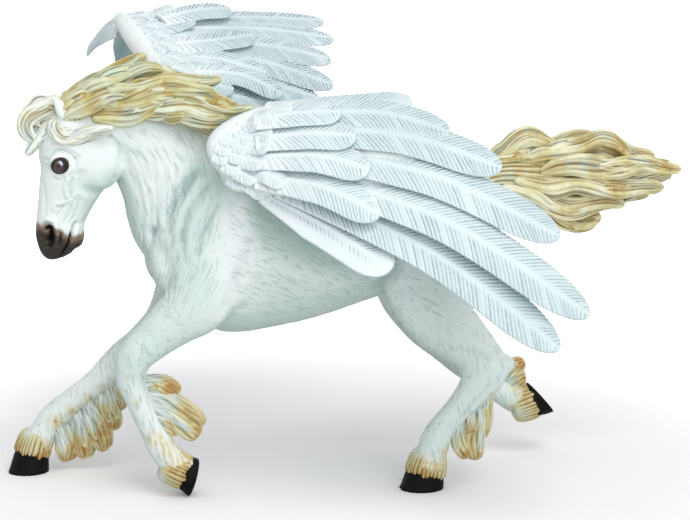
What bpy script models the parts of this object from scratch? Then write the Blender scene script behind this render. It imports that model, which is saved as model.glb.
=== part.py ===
"""Winged horse figurine, one solid moulding standing on three hooves. Sizes are in millimetres."""

import math

import bmesh
import bpy
from mathutils import Vector

# Every size below is in millimetres in the figure's own frame: the horse faces -X, its left side is
# -Y and the ground is z = 0. MM turns them into Blender's metres.
MM = 0.001

# Overall sizes, to which the finished figure is stretched: hoof to tail tip, wing tip to wing tip, and height
FIGURE_LENGTH = 202.1
FIGURE_SPAN = 157.9
FIGURE_HEIGHT = 140.3

# Sizes that may be set one at a time
FEATHER_THICKNESS = 2.2
FEATHER_LIFT = -0.1
LOCK_THICKNESS_SHARE = 0.75
GROUND_TRIM = 0.0

# How finely the skin is made
SKIN_VOXEL = 0.9
SKIN_SMOOTH_PASSES = 4
TRIANGLE_GOAL = 11400

# Lofted bodies: each row is x, y, z of the section's centre, its half depth and its half width
TRUNK = (
    (-57.5, 0.0, 69.0, 7.0, 8.0),
    (-52.5, 0.0, 71.0, 17.5, 13.5),
    (-42.0, 0.0, 73.0, 25.5, 17.0),
    (-30.0, 0.0, 73.0, 27.0, 19.5),
    (-15.0, 0.0, 72.5, 24.0, 21.0),
    (0.0, 0.0, 74.0, 21.0, 20.5),
    (12.0, 0.0, 76.0, 19.5, 19.0),
    (25.0, 0.0, 77.5, 20.0, 19.0),
    (36.0, 0.0, 76.5, 17.0, 16.5),
    (44.0, 0.0, 74.0, 10.5, 11.0),
)
NECK = (
    (-28.0, 0.0, 78.0, 25.0, 12.0),
    (-43.0, 0.0, 87.0, 24.5, 12.0),
    (-54.0, 0.0, 97.5, 15.8, 10.5),
    (-61.8, -0.5, 104.5, 11.0, 9.0),
    (-69.5, -1.0, 107.5, 8.8, 8.0),
    (-77.0, -1.0, 106.5, 7.0, 6.5),
)
HEAD = (
    (-74.5, -1.0, 112.0, 4.5, 4.5),
    (-77.5, -1.0, 107.0, 9.0, 7.6),
    (-78.2, -1.0, 102.0, 10.4, 8.6),
    (-78.2, -1.0, 96.0, 10.4, 8.4),
    (-80.7, -1.0, 88.5, 8.4, 6.6),
    (-82.7, -1.0, 81.5, 7.0, 5.2),
    (-83.2, -1.0, 76.0, 6.9, 5.6),
    (-83.4, -1.0, 72.5, 5.6, 5.0),
    (-82.8, -1.0, 70.4, 3.2, 3.2),
)
NEAR_FORE_LEG = (
    (-40.0, -10.0, 80.0, 12.0, 6.5),
    (-42.5, -12.5, 66.0, 11.5, 7.0),
    (-46.0, -14.0, 57.8, 9.6, 6.6),
    (-52.0, -14.0, 53.0, 7.6, 5.8),
    (-58.5, -13.5, 47.6, 6.0, 5.0),
    (-63.8, -13.0, 42.6, 5.3, 4.7),
    (-64.9, -12.0, 36.3, 4.4, 4.2),
    (-62.3, -11.0, 28.3, 3.7, 3.4),
    (-58.8, -10.0, 20.2, 3.7, 3.4),
    (-56.1, -10.0, 14.9, 4.2, 4.0),
    (-52.8, -9.5, 10.6, 4.4, 4.3),
    (-49.9, -9.0, 7.6, 5.0, 4.9),
)
FAR_FORE_LEG = (
    (-41.0, 10.0, 76.0, 12.0, 6.5),
    (-44.0, 12.5, 61.0, 10.0, 6.6),
    (-50.0, 15.0, 48.0, 7.4, 5.8),
    (-57.5, 17.0, 40.4, 5.8, 5.0),
    (-64.6, 19.0, 34.6, 5.2, 4.7),
    (-71.6, 21.0, 27.6, 4.3, 3.9),
    (-78.3, 23.0, 22.2, 4.1, 3.6),
    (-84.2, 25.0, 16.8, 4.5, 4.2),
    (-87.4, 26.0, 12.4, 4.3, 4.2),
    (-90.2, 26.0, 7.6, 5.2, 5.0),
)
NEAR_HIND_LEG = (
    (24.0, -8.5, 85.0, 14.0, 8.0),
    (23.0, -12.0, 72.0, 15.5, 8.6),
    (22.0, -14.5, 61.0, 13.5, 8.4),
    (25.0, -16.0, 51.0, 10.4, 7.4),
    (31.0, -17.0, 44.8, 8.2, 6.0),
    (36.2, -17.0, 39.2, 7.0, 4.7),
    (38.2, -17.0, 34.4, 7.2, 4.5),
    (34.8, -17.0, 28.6, 5.2, 3.9),
    (29.4, -17.0, 22.6, 4.0, 3.5),
    (25.5, -17.0, 18.2, 4.1, 3.6),
    (23.6, -17.0, 14.6, 4.6, 4.2),
    (22.3, -17.0, 10.2, 4.6, 4.3),
    (20.9, -17.0, 6.2, 5.5, 5.3),
)
FAR_HIND_LEG = (
    (26.0, 8.5, 83.0, 14.0, 8.0),
    (25.0, 12.0, 69.0, 15.0, 8.6),
    (24.0, 13.5, 56.0, 12.2, 8.0),
    (28.2, 14.0, 44.8, 8.6, 6.6),
    (35.3, 14.0, 36.6, 6.6, 5.1),
    (41.4, 14.0, 30.4, 5.7, 4.6),
    (48.0, 14.0, 24.0, 4.1, 3.7),
    (54.5, 14.0, 19.0, 4.2, 3.9),
    (58.5, 14.0, 17.4, 4.9, 4.5),
    (62.0, 14.0, 17.0, 5.3, 5.0),
)
NECK_MANE = (
    (-82.0, -1.0, 108.0, 4.0, 6.0),
    (-76.0, -1.5, 113.5, 5.0, 7.5),
    (-66.0, -2.0, 117.0, 5.5, 8.5),
    (-54.0, -2.5, 116.0, 6.0, 9.0),
    (-42.0, -2.5, 110.5, 6.0, 9.0),
    (-30.0, -2.0, 103.0, 5.0, 7.5),
    (-22.0, -1.0, 98.0, 3.0, 4.0),
)
TAIL_CORE = (
    (36.0, 0.0, 88.0, 6.0, 5.0),
    (46.0, 0.0, 90.5, 6.5, 5.5),
    (56.0, 1.0, 89.5, 9.0, 6.5),
    (66.0, 2.0, 87.5, 11.0, 7.0),
    (76.0, 2.5, 87.0, 9.5, 6.5),
    (86.0, 2.5, 87.5, 6.5, 5.0),
    (94.0, 2.0, 89.0, 4.5, 3.5),
    (101.0, 1.0, 89.6, 2.4, 2.2),
)

# Hooves: centre, outward direction, half length and half width at the hair line, then at the sole
HOOVES = (
    ((-50.3, -9.0, 7.3), (0.92, 0.0, -0.38), 4.8, 4.7, (-46.9, -9.0, 5.0), (0.955, 0.0, -0.296), 5.7, 5.2),
    ((-91.2, 26.0, 6.2), (-0.25, 0.0, -0.97), 5.0, 4.8, (-92.7, 26.0, -1.2), (0.0, 0.0, -1.0), 6.3, 5.9),
    ((20.8, -16.0, 5.0), (-0.2, 0.0, -0.98), 5.5, 5.3, (19.4, -16.0, -1.2), (0.0, 0.0, -1.0), 6.7, 6.1),
    ((61.8, 14.0, 16.8), (0.93, 0.0, 0.36), 5.3, 5.0, (65.4, 14.0, 17.8), (0.757, 0.0, 0.653), 6.2, 5.6),
)

# Rounded masses on the skin: centre, the three half axes along x, y and z, and a turn about y in degrees
MASSES = (
    ((-72.0, -6.3, 97.0), (6.6, 3.4, 7.4), 0.0),
    ((-72.0, 4.3, 97.0), (6.6, 3.4, 7.4), 0.0),
    ((-83.0, -6.4, 98.6), (3.6, 2.9, 3.4), 0.0),
    ((-83.0, 4.4, 98.6), (3.6, 2.9, 3.4), 0.0),
    ((-42.0, -9.5, 79.0), (12.5, 7.5, 18.0), 24.0),
    ((-42.0, 9.5, 79.0), (12.5, 7.5, 18.0), 24.0),
    ((-52.0, -7.0, 68.0), (6.5, 7.5, 9.0), 0.0),
    ((-52.0, 7.0, 68.0), (6.5, 7.5, 9.0), 0.0),
    ((28.0, -10.5, 76.0), (15.0, 9.5, 17.0), -12.0),
    ((28.0, 10.5, 76.0), (15.0, 9.5, 17.0), -12.0),
    ((44.5, -17.0, 36.4), (3.0, 2.6, 3.0), 0.0),
)

# Ears: base, tip, half width
EARS = (
    ((-78.5, -5.0, 108.0), (-85.4, -7.5, 117.4), 2.3),
    ((-77.5, 3.5, 108.0), (-81.5, 7.0, 118.5), 2.3),
)

# Which way each wing's upper face looks, from its first feather to its last
NEAR_FACINGS = ((-0.22, -0.82, 0.52), (-0.19, -0.81, 0.56), (-0.1, -0.7, 0.7))
FAR_FACINGS = (
    (0.05, -0.74, 0.68),
    (0.04, -0.72, 0.70),
    (0.03, -0.70, 0.72),
    (0.02, -0.67, 0.75),
    (0.0, -0.64, 0.78),
    (0.0, -0.6, 0.8),
    (-0.05, 0.1, 1.0),
    (-0.1, 0.25, 0.95),
    (-0.2, 0.3, 0.93),
    (-0.3, 0.3, 0.9),
    (-0.45, 0.1, 0.88),
    (-0.6, -0.3, 0.75),
)

# Near wing feathers, from the lowest to the one along the back: root, middle, tip, half width
NEAR_LONG_FEATHERS = (
    ((-29.0, -29.0, 90.5), (-14.5, -42.0, 83.0), (0.5, -56.5, 73.0), 5.4),
    ((-24.0, -31.0, 93.5), (11.0, -57.5, 78.0), (42.5, -73.5, 53.0), 6.0),
    ((-23.0, -31.0, 98.0), (15.0, -56.5, 86.0), (51.0, -72.5, 61.5), 6.2),
    ((-22.5, -29.0, 103.5), (14.0, -48.0, 97.0), (46.0, -61.5, 81.0), 6.4),
    ((-23.5, -27.0, 108.0), (7.5, -38.5, 107.0), (33.0, -49.5, 98.5), 6.2),
    ((-24.5, -25.0, 111.5), (2.5, -31.5, 112.5), (21.0, -39.5, 107.5), 5.4),
    ((-27.0, -22.0, 112.5), (-6.0, -24.0, 114.0), (13.0, -28.5, 115.5), 4.6),
)
NEAR_COVERTS = (
    ((-31.0, -30.0, 95.5), (-15.0, -41.5, 93.5), (-1.0, -50.5, 86.5), 5.6),
    ((-31.0, -29.5, 100.5), (-16.0, -37.5, 101.5), (-2.5, -44.0, 98.0), 5.4),
    ((-31.0, -28.0, 105.0), (-18.0, -33.5, 107.0), (-5.0, -38.0, 106.5), 5.2),
    ((-31.0, -25.5, 110.0), (-20.0, -29.0, 112.0), (-8.0, -32.0, 112.5), 4.8),
)
NEAR_ARM = (
    (-27.5, -28.5, 89.7, 2.2, 2.2),
    (-32.0, -26.5, 93.0, 2.7, 2.6),
    (-36.5, -24.5, 97.5, 4.2, 3.2),
    (-39.4, -22.5, 102.8, 4.9, 3.6),
    (-37.5, -21.8, 107.0, 3.3, 3.3),
    (-30.0, -21.5, 111.2, 2.4, 2.6),
    (-22.0, -21.5, 113.3, 2.0, 2.0),
)
NEAR_PAD = (
    (-38.5, -23.5, 101.5, 5.5, 2.6),
    (-31.0, -27.0, 101.0, 10.5, 3.0),
    (-22.0, -30.5, 101.0, 12.0, 2.4),
    (-12.0, -34.5, 100.0, 12.0, 1.4),
    (-2.0, -40.0, 98.5, 11.0, 1.2),
    (8.0, -45.5, 95.0, 9.0, 1.0),
)
NEAR_HUMERUS = (
    (-32.0, -12.0, 94.0, 7.0, 7.0),
    (-33.5, -18.0, 99.0, 6.5, 6.5),
    (-35.0, -23.0, 102.0, 5.5, 4.6),
)

# Far wing feathers, from the one nearest the back out and round to the forward tip
FAR_LONG_FEATHERS = (
    ((-44.0, 19.5, 116.0), (-27.4, 21.9, 112.3), (-8.8, 25.0, 107.5), 5.2),
    ((-46.5, 26.5, 121.5), (-22.5, 30.0, 117.0), (-1.5, 31.0, 110.6), 5.6),
    ((-48.0, 32.7, 125.5), (-20.0, 36.6, 122.1), (3.9, 35.0, 114.2), 5.8),
    ((-49.1, 37.7, 128.8), (-17.0, 42.7, 126.2), (5.2, 44.6, 121.4), 5.8),
    ((-51.5, 42.7, 131.6), (-17.8, 50.8, 130.8), (7.8, 53.8, 127.2), 5.6),
    ((-52.1, 46.7, 134.2), (-21.8, 55.5, 134.0), (6.2, 61.7, 132.4), 5.2),
    ((-53.5, 47.5, 133.8), (-22.5, 60.0, 131.2), (1.5, 68.0, 126.5), 5.6),
    ((-54.5, 48.5, 133.6), (-28.0, 65.5, 128.8), (-8.0, 75.5, 119.5), 5.8),
    ((-56.0, 49.5, 133.5), (-36.0, 68.5, 126.8), (-20.5, 82.0, 114.0), 6.0),
    ((-57.5, 50.0, 133.0), (-47.0, 69.5, 125.5), (-37.5, 84.0, 111.5), 6.0),
    ((-58.5, 50.0, 132.8), (-56.0, 67.5, 126.8), (-53.5, 82.5, 115.0), 5.8),
    ((-59.5, 49.5, 132.5), (-64.0, 62.0, 129.6), (-67.0, 74.5, 124.6), 5.4),
)
FAR_COVERTS = (
    ((-42.0, 24.0, 119.5), (-26.8, 24.9, 118.3), (-14.6, 21.2, 112.5), 4.4),
    ((-48.8, 28.7, 122.8), (-33.3, 31.0, 122.7), (-18.2, 29.1, 118.4), 5.0),
    ((-46.0, 34.2, 127.0), (-31.2, 38.5, 127.8), (-19.8, 43.5, 128.8), 4.6),
    ((-48.0, 44.0, 134.0), (-36.2, 50.0, 136.2), (-25.0, 54.0, 136.3), 4.6),
)
FAR_SHORT_COVERTS = (
    ((-49.6, 22.4, 118.6), (-39.2, 21.4, 116.6), (-29.6, 20.8, 114.0), 3.6),
    ((-50.5, 27.2, 121.8), (-41.0, 29.0, 122.2), (-31.9, 30.4, 121.0), 3.6),
    ((-51.9, 34.0, 126.9), (-45.5, 36.0, 126.9), (-37.0, 39.4, 127.2), 3.8),
    ((-51.8, 40.0, 130.7), (-44.4, 43.4, 132.1), (-38.0, 47.4, 134.1), 3.8),
)
FAR_ARM = (
    (-34.0, 8.0, 98.0, 6.5, 6.0),
    (-40.0, 14.0, 108.0, 5.5, 5.0),
    (-46.5, 20.5, 116.0, 4.8, 4.2),
    (-51.5, 28.0, 123.0, 4.2, 3.8),
    (-56.0, 36.0, 129.0, 3.8, 3.4),
    (-59.0, 43.5, 133.5, 3.0, 2.6),
    (-60.5, 49.0, 135.0, 2.0, 2.0),
)
FAR_PAD = (
    (-38.0, 18.0, 112.5, 12.0, 2.0),
    (-40.0, 26.0, 119.0, 15.0, 2.2),
    (-42.0, 34.0, 124.5, 15.0, 2.2),
    (-45.0, 42.0, 129.5, 14.0, 2.0),
    (-50.0, 49.0, 133.0, 10.0, 1.8),
    (-52.0, 56.0, 132.0, 9.0, 1.6),
)
FAR_WEB = (
    (-27.0, 22.3, 111.8, 7.0, 1.0),
    (-23.0, 30.6, 116.6, 8.0, 1.0),
    (-21.0, 37.2, 121.6, 8.0, 1.0),
    (-19.0, 43.4, 125.7, 8.0, 1.0),
    (-19.0, 51.4, 130.2, 8.0, 1.0),
    (-22.0, 55.6, 133.4, 8.0, 1.0),
)
FAR_OUTER_WEB = (
    (-23.0, 55.0, 132.6, 8.0, 1.0),
    (-24.0, 60.0, 130.8, 8.0, 1.0),
    (-30.0, 65.2, 128.2, 8.0, 1.0),
    (-38.0, 68.0, 126.2, 7.0, 1.0),
    (-48.0, 69.0, 125.2, 6.0, 1.0),
    (-57.0, 67.0, 126.2, 5.0, 1.0),
)

# Hair locks: the points each one runs through, then its half width
MANE_LOCKS = (
    (((-79.5, -3.0, 113.0), (-72.5, -5.0, 118.5), (-64.5, -6.0, 123.0), (-58.2, -6.0, 127.4)), 2.8),
    (((-77.5, -5.0, 114.0), (-70.0, -8.0, 120.0), (-60.5, -9.0, 122.8), (-54.0, -9.0, 122.8)), 2.8),
    (((-75.5, -6.0, 113.0), (-66.0, -9.5, 117.5), (-55.0, -11.5, 119.8), (-45.5, -12.5, 119.5), (-38.5, -13.0, 121.8)), 2.8),
    (((-71.5, -7.0, 113.0), (-62.0, -10.5, 115.5), (-51.0, -12.5, 117.5), (-43.0, -14.5, 117.8), (-39.0, -14.5, 115.5)), 2.9),
    (((-74.0, -7.5, 110.5), (-65.0, -10.5, 112.0), (-57.0, -12.0, 113.5), (-48.5, -13.0, 115.0)), 2.9),
    (((-62.0, -9.5, 112.5), (-51.5, -12.5, 112.3), (-40.5, -14.0, 111.0), (-29.0, -14.5, 112.0)), 2.9),
    (((-56.0, -10.5, 112.5), (-46.0, -13.0, 110.5), (-37.0, -15.0, 111.0)), 2.6),
    (((-78.0, 2.0, 114.0), (-69.0, 6.0, 118.0), (-59.0, 9.0, 120.0), (-49.0, 10.0, 121.0)), 2.9),
    (((-73.0, 5.0, 112.0), (-62.0, 9.5, 114.5), (-50.0, 12.0, 115.5), (-40.0, 13.0, 114.0)), 3.0),
    (((-66.0, 7.5, 109.0), (-56.0, 11.0, 109.5), (-45.0, 13.0, 108.0), (-34.0, 13.5, 108.5)), 3.0),
    (((-54.0, 8.0, 106.0), (-44.0, 12.0, 104.0), (-33.0, 13.5, 102.5), (-25.0, 13.0, 103.5)), 2.8),
    (((-72.0, 0.0, 117.5), (-62.0, 1.0, 121.0), (-52.0, 1.0, 121.5), (-43.0, 0.0, 118.5)), 3.0),
    (((-56.0, 0.0, 118.0), (-45.0, 0.5, 114.5), (-33.0, 1.0, 108.5), (-22.0, 1.0, 104.0)), 3.0),
)
FORELOCKS = (
    (((-79.0, -2.0, 113.0), (-86.0, -3.0, 114.5), (-91.0, -4.0, 112.0), (-91.8, -4.5, 108.0), (-88.5, -4.5, 105.0)), 2.8),
    (((-83.0, -3.0, 110.5), (-87.0, -4.0, 106.5), (-90.5, -4.0, 103.0), (-93.0, -4.0, 100.6)), 1.9),
    (((-86.5, -4.5, 104.5), (-81.0, -8.5, 103.2), (-75.0, -10.0, 106.0), (-68.5, -10.5, 108.8)), 2.2),
    (((-80.0, 1.0, 112.5), (-86.0, 2.5, 111.5), (-88.5, 3.0, 106.5), (-87.0, 3.0, 101.5)), 2.6),
    (((-82.0, -3.5, 112.0), (-84.5, -6.0, 108.0), (-82.0, -8.5, 105.5), (-77.0, -9.5, 107.5)), 2.4),
)
TAIL_LOCKS = (
    (((40.0, -1.0, 91.5), (48.0, -2.0, 97.0), (55.0, -2.5, 100.0), (64.0, -2.0, 97.5), (72.0, -2.0, 99.5)), 3.0),
    (((50.0, -3.0, 93.0), (60.0, -4.0, 95.5), (70.0, -3.5, 98.5), (78.0, -2.0, 99.5), (87.0, -1.5, 94.5)), 3.0),
    (((60.0, 2.0, 95.0), (70.0, 2.5, 99.5), (78.0, 2.5, 98.0), (88.0, 2.0, 95.0), (96.0, 1.0, 95.0)), 2.8),
    (((58.0, -5.0, 91.0), (70.0, -5.5, 93.0), (82.0, -4.5, 91.0), (92.0, -2.0, 92.0), (104.0, 0.5, 90.6)), 2.8),
    (((50.0, -5.0, 89.0), (62.0, -6.0, 87.0), (76.0, -5.5, 86.5), (88.0, -3.0, 84.5), (98.0, -1.0, 85.5)), 2.9),
    (((46.0, -4.0, 87.0), (56.0, -5.5, 83.5), (66.0, -5.5, 80.5), (76.0, -3.5, 80.5), (86.0, -1.0, 79.8)), 2.9),
    (((50.0, -2.0, 85.0), (60.0, -3.5, 80.0), (69.0, -3.0, 75.5), (77.5, -1.0, 75.0)), 2.7),
    (((58.0, 7.0, 91.0), (70.0, 8.0, 93.0), (82.0, 7.0, 90.0), (94.0, 4.0, 88.0)), 3.0),
    (((50.0, 5.0, 88.0), (62.0, 7.5, 85.0), (74.0, 8.0, 83.5), (86.0, 5.5, 82.0), (95.0, 3.0, 83.0)), 3.0),
    (((52.0, 3.0, 84.0), (62.0, 5.0, 79.5), (72.0, 5.0, 76.0), (80.0, 3.0, 76.5)), 2.8),
)
LEG_TUFTS = (
    (((-61.5, -11.0, 35.0), (-56.0, -10.5, 34.2), (-50.6, -10.5, 31.2)), 2.6),
    (((-60.5, -10.5, 31.5), (-54.0, -10.0, 28.6), (-47.0, -10.0, 23.8), (-44.2, -10.0, 20.4)), 3.3),
    (((-59.5, -10.5, 28.0), (-53.5, -10.5, 25.0), (-48.0, -10.5, 19.6), (-45.6, -10.5, 17.4)), 3.0),
    (((-58.5, -10.5, 25.0), (-54.0, -10.5, 22.4), (-50.4, -10.5, 20.0)), 2.8),
    (((-68.0, 19.5, 30.0), (-66.5, 19.5, 24.0), (-65.0, 20.0, 18.6)), 2.9),
    (((-71.0, 20.5, 26.5), (-69.0, 20.5, 19.0), (-67.3, 21.0, 12.4)), 3.2),
    (((-75.0, 21.5, 23.5), (-71.5, 21.5, 14.0), (-68.8, 22.0, 6.4)), 3.3),
    (((-79.0, 23.0, 19.5), (-76.0, 23.0, 11.0), (-74.4, 23.0, 3.6)), 3.3),
    (((-83.0, 24.0, 15.0), (-81.5, 24.0, 8.0), (-80.3, 24.0, 2.8)), 3.2),
    (((38.5, -16.5, 29.5), (38.5, -16.5, 22.0), (37.0, -16.5, 13.4)), 2.8),
    (((35.5, -16.5, 25.5), (35.0, -16.5, 15.0), (35.6, -16.5, 7.6)), 2.9),
    (((32.0, -16.5, 22.5), (31.5, -16.5, 14.0), (33.6, -16.5, 8.4)), 2.8),
    (((50.0, 14.0, 25.0), (53.0, 13.0, 28.5), (54.5, 12.5, 31.5)), 2.3),
    (((52.0, 14.0, 23.5), (56.0, 13.0, 27.5), (59.6, 12.5, 29.8)), 2.5),
    (((54.0, 14.0, 21.5), (57.5, 13.0, 24.5), (60.0, 13.0, 25.0)), 2.6),
)


def through(rows, steps):
    """Rows of equal length joined by a smooth curve through each of them, with steps points per span."""
    found = []
    last = len(rows) - 1
    for i in range(last):
        a = rows[max(i - 1, 0)]
        b = rows[i]
        c = rows[i + 1]
        d = rows[min(i + 2, last)]
        for step in range(steps):
            t = step / steps
            found.append(tuple(
                0.5 * (2 * q + (r - p) * t + (2 * p - 5 * q + 4 * r - s) * t * t + (3 * q - p - 3 * r + s) * t ** 3)
                for p, q, r, s in zip(a, b, c, d)
            ))
    found.append(tuple(rows[last]))
    return found


def skin_rings(mesh, rings):
    """Closes a list of equal rings into a solid, with a point in the middle of each end."""
    sides = len(rings[0])
    made = [[mesh.verts.new(point * MM) for point in ring] for ring in rings]
    for first, second in zip(made, made[1:]):
        for i in range(sides):
            j = (i + 1) % sides
            mesh.faces.new((first[i], first[j], second[j], second[i]))
    for ring, order in ((made[0], -1), (made[-1], 1)):
        middle = mesh.verts.new(sum((v.co for v in ring), Vector()) / sides)
        for i in range(sides):
            pair = (ring[i], ring[(i + 1) % sides])[::order]
            mesh.faces.new((pair[0], pair[1], middle))


def ring_round(centre, along, across, half_depth, half_width, sides):
    """An elliptic ring round a centre, half_width being measured along the across direction."""
    depth = along.cross(across).normalized()
    side = depth.cross(along).normalized()
    found = []
    for i in range(sides):
        angle = 2 * math.pi * i / sides
        found.append(centre + depth * half_depth * math.cos(angle) + side * half_width * math.sin(angle))
    return found


def add_loft(mesh, stations, across=Vector((0, 1, 0)), sides=20, steps=4):
    rows = through(stations, steps)
    centres = [Vector(row[:3]) for row in rows]
    rings = []
    for i, row in enumerate(rows):
        along = (centres[min(i + 1, len(rows) - 1)] - centres[max(i - 1, 0)]).normalized()
        rings.append(ring_round(centres[i], along, across, row[3], row[4], sides))
    skin_rings(mesh, rings)


def add_lock(mesh, points, half_width, across=Vector((0, 1, 0))):
    """A strand of hair: a flattened tube that narrows to a blunt tip."""
    rows = through(points, 5)
    count = len(rows) - 1
    stations = []
    for i, row in enumerate(rows):
        t = i / count
        size = half_width * (0.75 + 0.25 * math.sin(math.pi * min(t * 1.4, 1.0))) * (1 - t ** 6) ** 0.5
        size = max(size, 0.4 * half_width)
        stations.append((*row, size, size * LOCK_THICKNESS_SHARE))
    add_loft(mesh, stations, across, 12, 1)


def add_feather(mesh, feather, side, thickness):
    """A blade with a rounded tip. side points across the wing, along the blade's width."""
    root, middle, tip, half_width = feather
    rows = through((root, middle, tip), 6)
    centres = [Vector(row) for row in rows]
    count = len(rows) - 1
    rings = []
    for i, centre in enumerate(centres):
        t = i / count
        along = (centres[min(i + 1, count)] - centres[max(i - 1, 0)]).normalized()
        rising = 0.75 + 0.25 * min(t / 0.4, 1.0)
        closing = math.sqrt(max(1 - max((t - 0.72) / 0.28, 0.0) ** 2.4, 0.0))
        width = max(half_width * rising * closing, 0.9)
        thick = thickness * (0.5 if i < count else 0.3)
        rings.append(ring_round(centre, along, side, thick, width, 12))
    skin_rings(mesh, rings)


def add_fan(mesh, feathers, facings, lift, thickness=FEATHER_THICKNESS):
    """Feathers side by side, the wing's upper face turning from the first facing to the last.
    Each is turned about its shaft by lift, so that it overlaps the one before."""
    count = len(feathers) - 1
    for i, feather in enumerate(feathers):
        along = (Vector(feather[2]) - Vector(feather[0])).normalized()
        place = i / count * (len(facings) - 1)
        step = min(int(place), len(facings) - 2)
        facing = Vector(facings[step]).lerp(Vector(facings[step + 1]), place - step)
        side = facing.cross(along).normalized()
        add_feather(mesh, feather, (side + facing.normalized() * lift).normalized(), thickness)


def add_mass(mesh, centre, half_axes, turn):
    made = bmesh.ops.create_icosphere(mesh, subdivisions=3, radius=1.0)
    angle = math.radians(turn)
    for vertex in made["verts"]:
        x, y, z = (c * h for c, h in zip(vertex.co, half_axes))
        vertex.co = Vector((
            centre[0] + x * math.cos(angle) + z * math.sin(angle),
            centre[1] + y,
            centre[2] - x * math.sin(angle) + z * math.cos(angle),
        )) * MM


def add_hoof(mesh, top, top_out, top_length, top_width, sole, sole_out, sole_length, sole_width):
    across = Vector((0, 1, 0))
    rings = []
    for share in (0.0, 0.35, 0.7, 1.0):
        centre = Vector(top).lerp(Vector(sole), share)
        out = Vector(top_out).lerp(Vector(sole_out), share).normalized()
        length = top_length + (sole_length - top_length) * share
        width = top_width + (sole_width - top_width) * share
        rings.append(ring_round(centre, out, across, length, width, 20))
    skin_rings(mesh, rings)


def add_ear(mesh, base, tip, half_width):
    base = Vector(base)
    tip = Vector(tip)
    along = (tip - base).normalized()
    rings = []
    for share, size in ((0.0, 0.9), (0.3, 1.0), (0.6, 0.8), (0.85, 0.45), (1.0, 0.2)):
        rings.append(ring_round(base.lerp(tip, share), along, Vector((1, 0.4, 0)), half_width * size * 0.6,
                                half_width * size, 10))
    skin_rings(mesh, rings)


def new_object(name, mesh, collection):
    data = bpy.data.meshes.new(name)
    mesh.normal_update()
    mesh.to_mesh(data)
    mesh.free()
    made = bpy.data.objects.new(name, data)
    collection.objects.link(made)
    return made


def evaluated_mesh(made):
    """A plain mesh of the object with its modifiers worked out."""
    bpy.context.view_layer.update()
    graph = bpy.context.evaluated_depsgraph_get()
    return bpy.data.meshes.new_from_object(made.evaluated_get(graph))


def keep_largest_shell(data):
    """Removes loose crumbs and the walls of any pocket closed inside the figure."""
    mesh = bmesh.new()
    mesh.from_mesh(data)
    mesh.verts.ensure_lookup_table()
    unseen = set(mesh.verts)
    shells = []
    while unseen:
        start = unseen.pop()
        shell = [start]
        front = [start]
        while front:
            vertex = front.pop()
            for edge in vertex.link_edges:
                other = edge.other_vert(vertex)
                if other in unseen:
                    unseen.discard(other)
                    shell.append(other)
                    front.append(other)
        shells.append(shell)
    shells.sort(key=len)
    for shell in shells[:-1]:
        bmesh.ops.delete(mesh, geom=shell, context="VERTS")
    mesh.to_mesh(data)
    mesh.free()


def fit_to_size(data):
    """Centres the figure over the origin and stretches it to the overall sizes, the ground staying where it is."""
    for axis, size in ((0, FIGURE_LENGTH), (1, FIGURE_SPAN)):
        places = [vertex.co[axis] for vertex in data.vertices]
        middle = (min(places) + max(places)) / 2
        share = size * MM / (max(places) - min(places))
        for vertex in data.vertices:
            vertex.co[axis] = (vertex.co[axis] - middle) * share
    top = max(vertex.co.z for vertex in data.vertices)
    for vertex in data.vertices:
        vertex.co.z *= FIGURE_HEIGHT * MM / top


def build_rough():
    """All the overlapping solids of the figure in one mesh, before they are fused."""
    mesh = bmesh.new()
    for stations in (TRUNK, NECK, HEAD, NEAR_FORE_LEG, FAR_FORE_LEG, NEAR_HIND_LEG, FAR_HIND_LEG):
        add_loft(mesh, stations)
    for stations in (NECK_MANE, TAIL_CORE, FAR_ARM):
        add_loft(mesh, stations, sides=16)
    add_loft(mesh, NEAR_ARM, across=Vector((0.1, -0.9, 0.4)), sides=16)
    add_loft(mesh, NEAR_PAD, across=Vector((0.0, -0.9, 0.35)), sides=16)
    add_loft(mesh, NEAR_HUMERUS, across=Vector((0, 0, 1)), sides=16)
    add_loft(mesh, FAR_PAD, across=Vector((0.1, -0.66, 0.75)), sides=16)
    add_loft(mesh, FAR_WEB, across=Vector((0.0, -0.62, 0.78)), sides=16)
    add_loft(mesh, FAR_OUTER_WEB, across=Vector((0.0, 0.35, 0.94)), sides=16)
    for centre, half_axes, turn in MASSES:
        add_mass(mesh, centre, half_axes, turn)
    for hoof in HOOVES:
        add_hoof(mesh, *hoof)
    for base, tip, half_width in EARS:
        add_ear(mesh, base, tip, half_width)
    add_fan(mesh, NEAR_LONG_FEATHERS, NEAR_FACINGS, FEATHER_LIFT)
    add_fan(mesh, NEAR_COVERTS, NEAR_FACINGS, FEATHER_LIFT)
    add_fan(mesh, FAR_LONG_FEATHERS, FAR_FACINGS, FEATHER_LIFT)
    add_fan(mesh, FAR_COVERTS, FAR_FACINGS[:5], FEATHER_LIFT)
    add_fan(mesh, FAR_SHORT_COVERTS, FAR_FACINGS[:5], FEATHER_LIFT)
    for points, half_width in MANE_LOCKS + FORELOCKS + TAIL_LOCKS + LEG_TUFTS:
        add_lock(mesh, points, half_width)
    return mesh


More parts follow.
